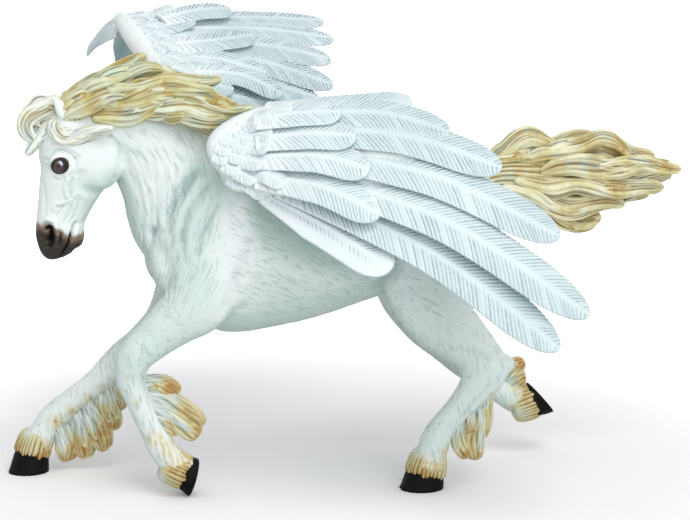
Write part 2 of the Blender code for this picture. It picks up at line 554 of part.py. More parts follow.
def main():
    for old in list(bpy.data.objects):
        bpy.data.objects.remove(old, do_unlink=True)
    figure_parts = bpy.data.collections.new("pegasus_figurine")
    cutters = bpy.data.collections.new("cutters")
    bpy.context.scene.collection.children.link(figure_parts)
    bpy.context.scene.collection.children.link(cutters)

    rough = new_object("rough", build_rough(), figure_parts)
    fuse = rough.modifiers.new("fuse", "REMESH")
    fuse.mode = "VOXEL"
    fuse.voxel_size = SKIN_VOXEL * MM
    soften = rough.modifiers.new("soften", "SMOOTH")
    soften.factor = 0.5
    soften.iterations = SKIN_SMOOTH_PASSES
    fused = evaluated_mesh(rough)
    keep_largest_shell(fused)
    bpy.data.objects.remove(rough, do_unlink=True)

    dense = bpy.data.objects.new("dense", fused)
    figure_parts.objects.link(dense)
    thin = dense.modifiers.new("thin_out", "DECIMATE")
    thin.ratio = TRIANGLE_GOAL / (2 * len(fused.polygons))
    light = evaluated_mesh(dense)
    keep_largest_shell(light)
    bpy.data.objects.remove(dense, do_unlink=True)

    figure = bpy.data.objects.new("pegasus_figurine", light)
    figure_parts.objects.link(figure)
    fit_to_size(light)

    ground = bmesh.new()
    bmesh.ops.create_cube(ground, size=1.0)
    for vertex in ground.verts:
        vertex.co = Vector((vertex.co.x * 0.4, vertex.co.y * 0.4, (vertex.co.z - 0.5) * 0.02 + GROUND_TRIM * MM))
    cutter = new_object("ground_cutter", ground, cutters)
    cutter.hide_render = True
    cutter.display_type = "WIRE"
    trim = figure.modifiers.new("flat_soles", "BOOLEAN")
    trim.operation = "DIFFERENCE"
    trim.solver = "EXACT"
    trim.object = cutter

    paint = bpy.data.materials.new("white_vinyl")
    paint.use_nodes = True
    surface = paint.node_tree.nodes["Principled BSDF"]
    surface.inputs["Base Color"].default_value = (0.78, 0.84, 0.84, 1.0)
    surface.inputs["Roughness"].default_value = 0.55
    light.materials.append(paint)
    for polygon in light.polygons:
        polygon.use_smooth = True


main()
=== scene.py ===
"""Looks of the winged horse figurine: carved skin, barbed feathers, hair, leg feathering, hooves, eyes."""

import math

import bmesh
import bpy
import numpy as np
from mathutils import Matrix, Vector
from mathutils.bvhtree import BVHTree
from mathutils.kdtree import KDTree


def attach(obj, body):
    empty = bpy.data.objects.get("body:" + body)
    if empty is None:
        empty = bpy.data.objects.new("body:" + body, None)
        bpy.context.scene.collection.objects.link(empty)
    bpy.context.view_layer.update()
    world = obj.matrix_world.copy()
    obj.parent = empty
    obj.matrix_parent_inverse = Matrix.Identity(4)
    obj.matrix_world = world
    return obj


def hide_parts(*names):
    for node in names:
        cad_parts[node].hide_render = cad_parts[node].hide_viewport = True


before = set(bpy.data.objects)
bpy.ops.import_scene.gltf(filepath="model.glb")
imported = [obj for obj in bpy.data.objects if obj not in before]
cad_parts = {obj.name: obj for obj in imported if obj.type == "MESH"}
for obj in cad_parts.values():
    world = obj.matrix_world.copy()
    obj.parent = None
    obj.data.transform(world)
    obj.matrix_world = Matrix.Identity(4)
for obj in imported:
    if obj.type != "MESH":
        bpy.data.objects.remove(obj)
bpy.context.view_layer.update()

# Every table is in millimetres in the figure's own frame: the horse faces -X, its left side is -Y and
# the ground is z = 0. SHIFT then moves the figure over the middle of its box.
MM = 0.001
SHIFT = np.array([-2.56, -5.08, 0.0])

# Fineness of the sculpted skins, and sizes of the finest relief
BODY_VOXEL = 0.7
ARM_VOXEL = 0.75
SMOOTHING_PASSES = 8
BARB_SPACING = 1.45
BARB_DEPTH = 0.42
ROWS_PER_BARB = 4
FEATHER_THICKNESS = 1.3
FEATHER_LIFT = -0.18
# How brightly the floor shines for the camera beside the figure; the rest of its white is lamp light
FLOOR_GLOW = 0.04
# The face lies in front of this x and between these heights; its skin is finer
FACE_BACK = -66.0
CHIN_HEIGHT = 69.0
POLL_HEIGHT = 112.0
# How far up the leg the hair over a hoof starts
FRINGE_RISE = 6.2
# How far the eyeballs stand out, and their half sizes along the face and up it
EYE_RADII = (1.5, 1.85, 2.05)
# The direction across the horse, from its left to its right
ACROSS_HORSE = (0.0, 1.0, 0.0)

# Lofted bodies: each row is x, y, z of the section's centre, its half depth and its half width
TRUNK = (
    (-57.5, 0.0, 69.0, 7.0, 8.0),
    (-52.5, 0.0, 71.0, 17.5, 13.5),
    (-42.0, 0.0, 73.0, 25.5, 17.0),
    (-30.0, 0.0, 73.0, 27.0, 19.5),
    (-15.0, 0.0, 72.5, 24.0, 21.0),
    (0.0, 0.0, 74.0, 21.0, 20.5),
    (12.0, 0.0, 76.0, 19.5, 19.0),
    (25.0, 0.0, 77.5, 20.0, 19.0),
    (36.0, 0.0, 76.5, 17.0, 16.5),
    (44.0, 0.0, 74.0, 10.5, 11.0),
)
NECK = (
    (-28.0, 0.0, 78.0, 25.0, 12.0),
    (-43.0, 0.0, 87.0, 24.5, 12.0),
    (-54.0, 0.0, 97.5, 15.8, 10.5),
    (-61.8, -0.5, 104.5, 11.0, 9.0),
    (-69.5, -1.0, 107.5, 8.8, 8.0),
    (-77.0, -1.0, 106.5, 7.0, 6.5),
)
HEAD = (
    (-74.5, -1.0, 112.0, 4.5, 4.5),
    (-77.5, -1.0, 107.0, 9.0, 7.6),
    (-78.2, -1.0, 102.0, 10.4, 8.6),
    (-78.2, -1.0, 96.0, 10.4, 8.4),
    (-80.7, -1.0, 88.5, 8.4, 6.6),
    (-82.7, -1.0, 81.5, 7.0, 5.2),
    (-83.2, -1.0, 76.0, 6.9, 5.6),
    (-83.4, -1.0, 72.5, 5.6, 5.0),
    (-82.8, -1.0, 70.4, 3.2, 3.2),
)
NEAR_FORE_LEG = (
    (-40.0, -10.0, 80.0, 12.0, 6.5),
    (-42.5, -12.5, 66.0, 11.5, 7.0),
    (-46.0, -14.0, 57.8, 9.6, 6.6),
    (-52.0, -14.0, 53.0, 7.6, 5.8),
    (-58.5, -13.5, 47.6, 6.0, 5.0),
    (-63.8, -13.0, 42.6, 5.3, 4.7),
    (-64.9, -12.0, 36.3, 4.4, 4.2),
    (-62.3, -11.0, 28.3, 3.7, 3.4),
    (-58.8, -10.0, 20.2, 3.7, 3.4),
    (-56.1, -10.0, 14.9, 4.2, 4.0),
    (-52.8, -9.5, 10.6, 4.4, 4.3),
    (-49.9, -9.0, 7.6, 5.0, 4.9),
)
FAR_FORE_LEG = (
    (-41.0, 10.0, 76.0, 12.0, 6.5),
    (-44.0, 12.5, 61.0, 10.0, 6.6),
    (-50.0, 15.0, 48.0, 7.4, 5.8),
    (-57.5, 17.0, 40.4, 5.8, 5.0),
    (-64.6, 19.0, 34.6, 5.2, 4.7),
    (-71.6, 21.0, 27.6, 4.3, 3.9),
    (-78.3, 23.0, 22.2, 4.1, 3.6),
    (-84.2, 25.0, 16.8, 4.5, 4.2),
    (-87.4, 26.0, 12.4, 4.3, 4.2),
    (-90.2, 26.0, 7.6, 5.2, 5.0),
)
NEAR_HIND_LEG = (
    (24.0, -8.5, 85.0, 14.0, 8.0),
    (23.0, -12.0, 72.0, 15.5, 8.6),
    (22.0, -14.5, 61.0, 13.5, 8.4),
    (25.0, -16.0, 51.0, 10.4, 7.4),
    (31.0, -17.0, 44.8, 8.2, 6.0),
    (36.2, -17.0, 39.2, 7.0, 4.7),
    (38.2, -17.0, 34.4, 7.2, 4.5),
    (34.8, -17.0, 28.6, 5.2, 3.9),
    (29.4, -17.0, 22.6, 4.0, 3.5),
    (25.5, -17.0, 18.2, 4.1, 3.6),
    (23.6, -17.0, 14.6, 4.6, 4.2),
    (22.3, -17.0, 10.2, 4.6, 4.3),
    (20.9, -17.0, 6.2, 5.5, 5.3),
)
FAR_HIND_LEG = (
    (26.0, 8.5, 83.0, 14.0, 8.0),
    (25.0, 12.0, 69.0, 15.0, 8.6),
    (24.0, 13.5, 56.0, 12.2, 8.0),
    (28.2, 14.0, 44.8, 8.6, 6.6),
    (35.3, 14.0, 36.6, 6.6, 5.1),
    (41.4, 14.0, 30.4, 5.7, 4.6),
    (48.0, 14.0, 24.0, 4.1, 3.7),
    (54.5, 14.0, 19.0, 4.2, 3.9),
    (58.5, 14.0, 17.4, 4.9, 4.5),
    (62.0, 14.0, 17.0, 5.3, 5.0),
)
NECK_MANE = (
    (-82.0, -1.0, 108.0, 4.0, 6.0),
    (-76.0, -1.5, 113.5, 5.0, 7.5),
    (-66.0, -2.0, 117.0, 5.5, 8.5),
    (-54.0, -2.5, 116.0, 6.0, 9.0),
    (-42.0, -2.5, 110.5, 6.0, 9.0),
    (-30.0, -2.0, 103.0, 5.0, 7.5),
    (-22.0, -1.0, 98.0, 3.0, 4.0),
)
TAIL_CORE = (
    (36.0, 0.0, 88.0, 6.0, 5.0),
    (46.0, 0.0, 90.5, 6.5, 5.5),
    (56.0, 1.0, 89.5, 9.0, 6.5),
    (66.0, 2.0, 87.5, 11.0, 7.0),
    (76.0, 2.5, 87.0, 9.5, 6.5),
    (86.0, 2.5, 87.5, 6.5, 5.0),
    (94.0, 2.0, 89.0, 4.5, 3.5),
    (101.0, 1.0, 89.6, 2.4, 2.2),
)

# Hooves: centre, outward direction, half length and half width at the hair line, then at the sole
HOOVES = (
    ((-50.3, -9.0, 7.3), (0.92, 0.0, -0.38), 4.8, 4.7, (-46.9, -9.0, 5.0), (0.955, 0.0, -0.296), 5.7, 5.2),
    ((-91.2, 26.0, 6.2), (-0.25, 0.0, -0.97), 5.0, 4.8, (-92.7, 26.0, -1.2), (0.0, 0.0, -1.0), 6.3, 5.9),
    ((20.8, -16.0, 5.0), (-0.2, 0.0, -0.98), 5.5, 5.3, (19.4, -16.0, -1.2), (0.0, 0.0, -1.0), 6.7, 6.1),
    ((61.8, 14.0, 16.8), (0.93, 0.0, 0.36), 5.3, 5.0, (65.4, 14.0, 17.8), (0.757, 0.0, 0.653), 6.2, 5.6),
)

# Rounded masses on the skin, in pairs: x, the y midway between the two, how far each lies from there, z,
# then the three half axes and a turn about y in degrees
PAIRED_MASSES = (
    (-72.0, -1.0, 5.3, 97.0, (6.6, 3.4, 7.4), 0.0),
    (-83.0, -1.0, 5.4, 98.6, (3.6, 2.9, 3.4), 0.0),
    (-42.0, 0.0, 9.5, 79.0, (12.5, 7.5, 18.0), 24.0),
    (-52.0, 0.0, 7.0, 68.0, (6.5, 7.5, 9.0), 0.0),
    (28.0, 0.0, 10.5, 76.0, (15.0, 9.5, 17.0), -12.0),
)
# The point of the near hock: centre, half axes, turn
HOCK_MASS = ((44.5, -17.0, 36.4), (3.0, 2.6, 3.0), 0.0)

# Ears: base, tip, half width
EARS = (
    ((-78.5, -5.0, 108.0), (-85.0, -7.3, 117.0), 2.8),
    ((-77.5, 3.5, 108.0), (-81.5, 7.0, 118.5), 2.3),
)

# Which way each wing's upper face looks, from its first feather to its last
NEAR_FACINGS = ((-0.22, -0.82, 0.52), (-0.19, -0.81, 0.56), (-0.1, -0.7, 0.7))
FAR_FACINGS = (
    (0.05, -0.74, 0.68),
    (0.04, -0.72, 0.70),
    (0.03, -0.70, 0.72),
    (0.02, -0.67, 0.75),
    (0.0, -0.64, 0.78),
    (0.0, -0.6, 0.8),
    (-0.05, 0.1, 1.0),
    (-0.1, 0.25, 0.95),
    (-0.2, 0.3, 0.93),
    (-0.3, 0.3, 0.9),
    (-0.45, 0.1, 0.88),
    (-0.6, -0.3, 0.75),
)

# Near wing feathers, from the lowest to the one along the back: root, middle, tip, half width
NEAR_LONG_FEATHERS = (
    ((-29.0, -29.0, 90.5), (-14.5, -42.0, 83.0), (0.5, -56.5, 73.0), 5.4),
    ((-24.0, -31.0, 93.5), (11.0, -57.5, 78.0), (42.5, -73.5, 53.0), 6.0),
    ((-23.0, -31.0, 98.0), (15.0, -56.5, 86.0), (51.0, -72.5, 61.5), 6.2),
    ((-22.5, -29.0, 103.5), (14.0, -48.0, 97.0), (46.0, -61.5, 81.0), 6.4),
    ((-23.5, -27.0, 108.0), (7.5, -38.5, 107.0), (33.0, -49.5, 98.5), 6.2),
    ((-24.5, -25.0, 111.5), (2.5, -31.5, 112.5), (21.0, -39.5, 107.5), 5.4),
    ((-27.0, -22.0, 112.5), (-6.0, -24.0, 114.0), (13.0, -28.5, 115.5), 4.6),
)
NEAR_COVERTS = (
    ((-31.0, -30.0, 95.5), (-15.0, -41.5, 93.5), (-1.0, -50.5, 86.5), 5.6),
    ((-31.0, -29.5, 100.5), (-16.0, -37.5, 101.5), (-2.5, -44.0, 98.0), 5.4),
    ((-31.0, -28.0, 105.0), (-18.0, -33.5, 107.0), (-5.0, -38.0, 106.5), 5.2),
    ((-31.0, -25.5, 110.0), (-20.0, -29.0, 112.0), (-8.0, -32.0, 112.5), 4.8),
)
NEAR_ARM = (
    (-27.5, -28.5, 89.7, 2.2, 2.2),
    (-32.0, -26.5, 93.0, 2.7, 2.6),
    (-36.5, -24.5, 97.5, 4.2, 3.2),
    (-39.4, -22.5, 102.8, 4.9, 3.6),
    (-37.5, -21.8, 107.0, 3.3, 3.3),
    (-30.0, -21.5, 111.2, 2.4, 2.6),
    (-22.0, -21.5, 113.3, 2.0, 2.0),
)
NEAR_PAD = (
    (-38.5, -23.5, 101.5, 5.5, 2.6),
    (-31.0, -27.0, 101.0, 10.5, 3.0),
    (-22.0, -30.5, 101.0, 12.0, 2.4),
    (-12.0, -34.5, 100.0, 12.0, 1.4),
    (-2.0, -40.0, 98.5, 11.0, 1.2),
    (8.0, -45.5, 95.0, 9.0, 1.0),
)
NEAR_HUMERUS = (
    (-32.0, -12.0, 94.0, 7.0, 7.0),
    (-33.5, -18.0, 99.0, 6.5, 6.5),
    (-35.0, -23.0, 102.0, 5.5, 4.6),
)

# Far wing feathers, from the one nearest the back out and round to the forward tip
FAR_LONG_FEATHERS = (
    ((-44.0, 19.5, 116.0), (-27.4, 21.9, 112.3), (-8.8, 25.0, 107.5), 5.2),
    ((-46.5, 26.5, 121.5), (-22.5, 30.0, 117.0), (-1.5, 31.0, 110.6), 5.6),
    ((-48.0, 32.7, 125.5), (-20.0, 36.6, 122.1), (3.9, 35.0, 114.2), 5.8),
    ((-49.1, 37.7, 128.8), (-17.0, 42.7, 126.2), (5.2, 44.6, 121.4), 5.8),
    ((-51.5, 42.7, 131.6), (-17.8, 50.8, 130.8), (7.8, 53.8, 127.2), 5.6),
    ((-52.1, 46.7, 134.2), (-21.8, 55.5, 134.0), (6.2, 61.7, 132.4), 5.2),
    ((-53.5, 47.5, 133.8), (-22.5, 60.0, 131.2), (1.5, 68.0, 126.5), 5.6),
    ((-54.5, 48.5, 133.6), (-28.0, 65.5, 128.8), (-8.0, 75.5, 119.5), 5.8),
    ((-56.0, 49.5, 133.5), (-36.0, 68.5, 126.8), (-20.5, 82.0, 114.0), 6.0),
    ((-57.5, 50.0, 133.0), (-47.0, 69.5, 125.5), (-37.5, 84.0, 111.5), 6.0),
    ((-58.5, 50.0, 132.8), (-56.0, 67.5, 126.8), (-53.5, 82.5, 115.0), 5.8),
    ((-59.5, 49.5, 132.5), (-64.0, 62.0, 129.6), (-67.0, 74.5, 124.6), 5.4),
)
FAR_COVERTS = (
    ((-42.0, 24.0, 119.5), (-26.8, 24.9, 118.3), (-14.6, 21.2, 112.5), 4.4),
    ((-48.8, 28.7, 122.8), (-33.3, 31.0, 122.7), (-18.2, 29.1, 118.4), 5.0),
    ((-46.0, 34.2, 127.0), (-31.2, 38.5, 127.8), (-19.8, 43.5, 128.8), 4.6),
    ((-48.0, 44.0, 134.0), (-36.2, 50.0, 136.2), (-25.0, 54.0, 136.3), 4.6),
)
FAR_SHORT_COVERTS = (
    ((-49.6, 22.4, 118.6), (-39.2, 21.4, 116.6), (-29.6, 20.8, 114.0), 3.6),
    ((-50.5, 27.2, 121.8), (-41.0, 29.0, 122.2), (-31.9, 30.4, 121.0), 3.6),
    ((-51.9, 34.0, 126.9), (-45.5, 36.0, 126.9), (-37.0, 39.4, 127.2), 3.8),
    ((-51.8, 40.0, 130.7), (-44.4, 43.4, 132.1), (-38.0, 47.4, 134.1), 3.8),
)
FAR_ARM = (
    (-34.0, 8.0, 98.0, 6.5, 6.0),
    (-40.0, 14.0, 108.0, 5.5, 5.0),
    (-46.5, 20.5, 116.0, 4.8, 4.2),
    (-51.5, 28.0, 123.0, 4.2, 3.8),
    (-56.0, 36.0, 129.0, 3.8, 3.4),
    (-59.0, 43.5, 133.5, 3.0, 2.6),
    (-60.5, 49.0, 135.0, 2.0, 2.0),
)
FAR_PAD = (
    (-41.0, 18.0, 113.0, 9.0, 2.0),
    (-43.5, 26.0, 119.4, 11.0, 2.2),
    (-46.0, 34.0, 124.9, 11.0, 2.2),
    (-49.0, 42.0, 129.9, 10.0, 2.0),
    (-53.0, 48.0, 133.0, 7.0, 1.8),
    (-54.5, 52.5, 132.8, 5.5, 1.6),
)

# Hair locks: the points each one runs through, then its half width
MANE_LOCKS = (
    (((-79.5, -3.0, 113.0), (-72.5, -5.0, 118.5), (-64.5, -6.0, 123.0), (-58.2, -6.0, 127.4)), 2.8),
    (((-77.5, -5.0, 114.0), (-70.0, -8.0, 120.0), (-60.5, -9.0, 122.8), (-54.0, -9.0, 122.8)), 2.8),
    (((-75.5, -6.0, 113.0), (-66.0, -9.5, 117.5), (-55.0, -11.5, 119.8), (-45.5, -12.5, 119.5),
      (-38.5, -13.0, 121.8)), 2.8),
    (((-71.5, -7.0, 113.0), (-62.0, -10.5, 115.5), (-51.0, -12.5, 117.5), (-43.0, -14.5, 117.8),
      (-39.0, -14.5, 115.5)), 2.9),
    (((-74.0, -7.5, 110.5), (-65.0, -10.5, 112.0), (-57.0, -12.0, 113.5), (-48.5, -13.0, 115.0)), 2.9),
    (((-62.0, -9.5, 112.5), (-51.5, -12.5, 112.3), (-40.5, -14.0, 111.0), (-29.0, -14.5, 112.0)), 2.9),
    (((-56.0, -10.5, 112.5), (-46.0, -13.0, 110.5), (-37.0, -15.0, 111.0)), 2.6),
    (((-78.0, 2.0, 114.0), (-69.0, 6.0, 118.0), (-59.0, 9.0, 120.0), (-49.0, 10.0, 121.0)), 2.9),
    (((-73.0, 5.0, 112.0), (-62.0, 9.5, 114.5), (-50.0, 12.0, 115.5), (-40.0, 13.0, 114.0)), 3.0),
    (((-66.0, 7.5, 109.0), (-56.0, 11.0, 109.5), (-45.0, 13.0, 108.0), (-34.0, 13.5, 108.5)), 3.0),
    (((-54.0, 8.0, 106.0), (-44.0, 12.0, 104.0), (-33.0, 13.5, 102.5), (-25.0, 13.0, 103.5)), 2.8),
    (((-72.0, 0.0, 117.5), (-62.0, 1.0, 121.0), (-52.0, 1.0, 121.5), (-43.0, 0.0, 118.5)), 3.0),
    (((-56.0, 0.0, 118.0), (-45.0, 0.5, 114.5), (-33.0, 1.0, 108.5), (-22.0, 1.0, 104.0)), 3.0),
)
FORELOCKS = (
    (((-79.0, -2.0, 113.0), (-86.0, -3.0, 114.5), (-91.0, -4.0, 112.0), (-91.8, -4.5, 108.0),
      (-88.5, -4.5, 105.0)), 2.8),
    (((-83.0, -3.0, 110.5), (-87.0, -4.0, 106.5), (-90.5, -4.0, 103.0), (-93.0, -4.0, 100.6)), 1.9),
    (((-86.5, -4.5, 104.5), (-81.0, -8.5, 103.2), (-75.0, -10.0, 106.0), (-68.5, -10.5, 108.8)), 2.2),
    (((-80.0, 1.0, 112.5), (-86.0, 2.5, 111.5), (-88.5, 3.0, 106.5), (-87.0, 3.0, 101.5)), 2.6),
    (((-82.0, -3.5, 112.0), (-84.5, -6.0, 108.0), (-82.0, -8.5, 105.5), (-77.0, -9.5, 107.5)), 2.4),
)
TAIL_LOCKS = (
    (((40.0, -1.0, 91.5), (48.0, -2.0, 97.0), (55.0, -2.5, 100.0), (64.0, -2.0, 97.5),
      (72.0, -2.0, 99.5)), 3.0),
    (((50.0, -3.0, 93.0), (60.0, -4.0, 95.5), (70.0, -3.5, 98.5), (78.0, -2.0, 99.5),
      (87.0, -1.5, 94.5)), 3.0),
    (((60.0, 2.0, 95.0), (70.0, 2.5, 99.5), (78.0, 2.5, 98.0), (88.0, 2.0, 95.0), (96.0, 1.0, 95.0)), 2.8),
    (((58.0, -5.0, 91.0), (70.0, -5.5, 93.0), (82.0, -4.5, 91.0), (92.0, -2.0, 92.0),
      (104.0, 0.5, 90.6)), 2.8),
    (((50.0, -5.0, 89.0), (62.0, -6.0, 87.0), (76.0, -5.5, 86.5), (88.0, -3.0, 84.5),
      (98.0, -1.0, 85.5)), 2.9),
    (((46.0, -4.0, 87.0), (56.0, -5.5, 83.5), (66.0, -5.5, 80.5), (76.0, -3.5, 80.5),
      (86.0, -1.0, 79.8)), 2.9),
    (((50.0, -2.0, 85.0), (60.0, -3.5, 80.0), (69.0, -3.0, 75.5), (77.5, -1.0, 75.0)), 2.7),
    (((58.0, 7.0, 91.0), (70.0, 8.0, 93.0), (82.0, 7.0, 90.0), (94.0, 4.0, 88.0)), 3.0),
    (((50.0, 5.0, 88.0), (62.0, 7.5, 85.0), (74.0, 8.0, 83.5), (86.0, 5.5, 82.0), (95.0, 3.0, 83.0)), 3.0),
    (((52.0, 3.0, 84.0), (62.0, 5.0, 79.5), (72.0, 5.0, 76.0), (80.0, 3.0, 76.5)), 2.8),
)
LEG_TUFTS = (
    (((-61.5, -11.0, 35.0), (-56.0, -10.5, 34.2), (-50.6, -10.5, 31.2)), 2.6),
    (((-60.5, -10.5, 31.5), (-54.0, -10.0, 28.6), (-47.0, -10.0, 23.8), (-44.2, -10.0, 20.4)), 3.3),
    (((-59.5, -10.5, 28.0), (-53.5, -10.5, 25.0), (-48.0, -10.5, 19.6), (-45.6, -10.5, 17.4)), 3.0),
    (((-58.5, -10.5, 25.0), (-54.0, -10.5, 22.4), (-50.4, -10.5, 20.0)), 2.8),
    (((-68.0, 19.5, 30.0), (-66.5, 19.5, 24.0), (-65.0, 20.0, 18.6)), 2.9),
    (((-71.0, 20.5, 26.5), (-69.0, 20.5, 19.0), (-67.3, 21.0, 12.4)), 3.2),
    (((-75.0, 21.5, 23.5), (-71.5, 21.5, 14.0), (-68.8, 22.0, 6.4)), 3.3),
    (((-79.0, 23.0, 19.5), (-76.0, 23.0, 11.0), (-74.4, 23.0, 3.6)), 3.3),
    (((-83.0, 24.0, 15.0), (-81.5, 24.0, 8.0), (-80.3, 24.0, 2.8)), 3.2),
    (((38.5, -16.5, 29.5), (38.5, -16.5, 22.0), (37.0, -16.5, 13.4)), 2.8),
    (((35.5, -16.5, 25.5), (35.0, -16.5, 15.0), (35.6, -16.5, 7.6)), 2.9),
    (((32.0, -16.5, 22.5), (31.5, -16.5, 14.0), (33.6, -16.5, 8.4)), 2.8),
    (((50.0, 14.0, 25.0), (53.0, 13.0, 28.5), (54.5, 12.5, 31.5)), 2.3),
    (((52.0, 14.0, 23.5), (56.0, 13.0, 27.5), (59.6, 12.5, 29.8)), 2.5),
    (((54.0, 14.0, 21.5), (57.5, 13.0, 24.5), (60.0, 13.0, 25.0)), 2.6),
)


# Small feathers on the wings' arms, in the side view: x and z of root and tip, half width
NEAR_SMALL_FEATHERS = (
    ((-42.6, 108.0), (-38.0, 107.0), 2.0),
    ((-40.0, 110.2), (-34.6, 108.8), 2.3),
    ((-36.4, 111.8), (-30.8, 110.4), 2.5),
    ((-32.6, 113.4), (-26.6, 111.8), 2.6),
    ((-28.9, 116.2), (-20.7, 113.4), 3.1),
    ((-31.6, 113.4), (-25.4, 109.7), 2.8),
    ((-34.9, 112.6), (-29.9, 109.9), 2.5),
    ((-37.6, 110.4), (-32.9, 108.2), 2.2),
    ((-33.7, 108.4), (-26.4, 105.4), 3.0),
    ((-37.2, 108.6), (-32.0, 105.6), 2.5),
    ((-40.4, 107.6), (-35.5, 105.4), 2.3),
    ((-34.8, 104.4), (-26.9, 102.0), 3.1),
    ((-38.6, 105.4), (-33.0, 103.0), 2.6),
    ((-42.4, 105.0), (-38.0, 102.9), 2.1),
    ((-39.6, 102.8), (-34.1, 99.9), 2.6),
    ((-43.2, 102.6), (-38.6, 100.2), 2.1),
    ((-36.4, 100.0), (-28.4, 97.0), 3.1),
    ((-40.6, 99.8), (-35.1, 96.2), 2.5),
    ((-37.6, 97.2), (-30.6, 92.4), 2.8),
    ((-39.0, 95.6), (-34.0, 91.9), 2.2),
    ((-35.0, 93.4), (-28.4, 88.6), 2.4),
    ((-31.4, 94.6), (-22.4, 89.6), 3.0),
)
FAR_SMALL_FEATHERS = (
    ((-60.6, 136.4), (-56.6, 134.9), 2.1),
    ((-59.6, 134.2), (-55.0, 132.4), 2.2),
    ((-58.4, 131.8), (-53.6, 130.0), 2.2),
    ((-57.0, 129.4), (-52.2, 127.8), 2.3),
    ((-55.4, 126.8), (-50.6, 125.4), 2.3),
    ((-53.6, 124.0), (-48.8, 122.8), 2.3),
    ((-51.6, 121.0), (-47.0, 120.0), 2.3),
    ((-49.6, 118.0), (-45.0, 117.0), 2.3),
    ((-57.6, 136.6), (-51.0, 136.0), 2.7),
    ((-56.4, 133.9), (-49.0, 133.6), 2.7),
    ((-55.0, 131.1), (-47.4, 131.0), 2.7),
    ((-53.6, 128.4), (-46.0, 128.2), 2.7),
    ((-52.0, 125.5), (-44.6, 125.2), 2.7),
    ((-50.4, 122.6), (-43.0, 122.0), 2.7),
    ((-48.6, 119.6), (-41.2, 118.6), 2.7),
    ((-52.4, 136.6), (-42.9, 137.2), 3.2),
)

# Lines carved into the skin in the side view: x and z of their points, radius, depth. A negative depth
# raises a ridge. Both sides are carved alike, apart from the folds that reach down to the legs.
HEAD_LINES = (
    (((-87.8, 79.4), (-86.9, 79.8), (-86.1, 78.8), (-86.2, 77.2), (-87.0, 75.8)), 1.25, 1.7),
    (((-86.2, 79.2), (-85.8, 77.4), (-86.0, 75.4), (-86.9, 74.0)), 1.0, 1.5),
    (((-87.2, 81.6), (-85.2, 81.1), (-84.3, 79.0), (-84.4, 76.4), (-85.2, 73.8)), 0.75, -0.6),
    (((-88.2, 79.6), (-87.5, 77.8), (-86.9, 76.4)), 0.5, -0.5),
    (((-84.4, 80.4), (-83.4, 77.6), (-83.4, 74.6)), 0.8, 0.4),
    (((-79.0, 80.4), (-79.7, 79.2), (-80.5, 77.2)), 0.8, 1.0),
    (((-80.3, 77.6), (-81.1, 75.2), (-82.2, 72.8), (-83.6, 70.8)), 0.7, 1.3),
    (((-78.2, 79.0), (-78.9, 77.0), (-79.6, 75.0)), 0.8, -0.35),
    (((-81.9, 79.2), (-82.3, 77.0), (-83.2, 74.4)), 0.9, -0.35),
    (((-77.4, 94.6), (-77.6, 91.6), (-75.4, 89.6), (-72.0, 89.2), (-69.6, 90.2), (-67.6, 92.6)), 2.2, 0.42),
    (((-67.8, 93.6), (-66.5, 97.6), (-66.9, 101.6), (-69.4, 105.0)), 1.3, 0.36),
    (((-69.4, 105.0), (-72.6, 106.6), (-76.0, 105.2)), 1.4, 0.5),
    (((-81.2, 93.4), (-81.9, 91.0), (-81.4, 88.4)), 1.0, -0.4),
    (((-79.9, 93.4), (-80.6, 90.6), (-80.2, 88.0)), 0.9, 0.38),
    (((-85.2, 84.6), (-85.0, 86.0), (-82.6, 86.4), (-80.4, 87.6), (-78.4, 89.2)), 0.8, -0.24),
    (((-84.9, 83.4), (-84.0, 85.2), (-82.4, 85.4)), 0.55, 0.22),
    (((-83.0, 85.2), (-83.7, 83.8), (-84.5, 82.8)), 0.6, 0.42),
    (((-80.2, 85.6), (-80.4, 84.2), (-81.4, 82.4), (-82.6, 80.6)), 0.7, 0.32),
    (((-79.2, 85.4), (-79.6, 83.6), (-80.6, 81.8)), 0.8, -0.22),
    (((-77.6, 87.2), (-78.8, 84.2), (-79.8, 81.8)), 0.9, 0.28),
    (((-70.6, 88.0), (-73.6, 84.6), (-76.4, 80.4)), 1.5, 0.3),
    (((-86.6, 98.6), (-85.4, 100.6), (-83.2, 101.6), (-80.8, 100.8), (-79.0, 99.2)), 0.6, 0.42),
    (((-87.0, 99.6), (-85.2, 102.0), (-82.6, 102.9), (-79.8, 102.2), (-77.8, 100.6)), 0.9, -0.42),
    (((-85.2, 93.8), (-83.8, 93.0), (-82.2, 93.3)), 0.5, 0.3),
    (((-82.4, 93.9), (-81.0, 93.8), (-79.9, 95.0)), 0.45, 0.25),
    (((-79.4, 99.0), (-78.8, 97.0), (-79.0, 94.6)), 0.9, 0.3),
    (((-87.9, 92.0), (-87.4, 87.0), (-87.6, 83.4)), 0.9, 0.22),
)
EYE_RING = ((-85.3, 97.4), (-84.6, 99.2), (-83.1, 99.7), (-81.7, 98.9), (-81.2, 97.2), (-81.9, 95.4),
            (-83.4, 94.9), (-84.8, 95.6), (-85.3, 97.4))
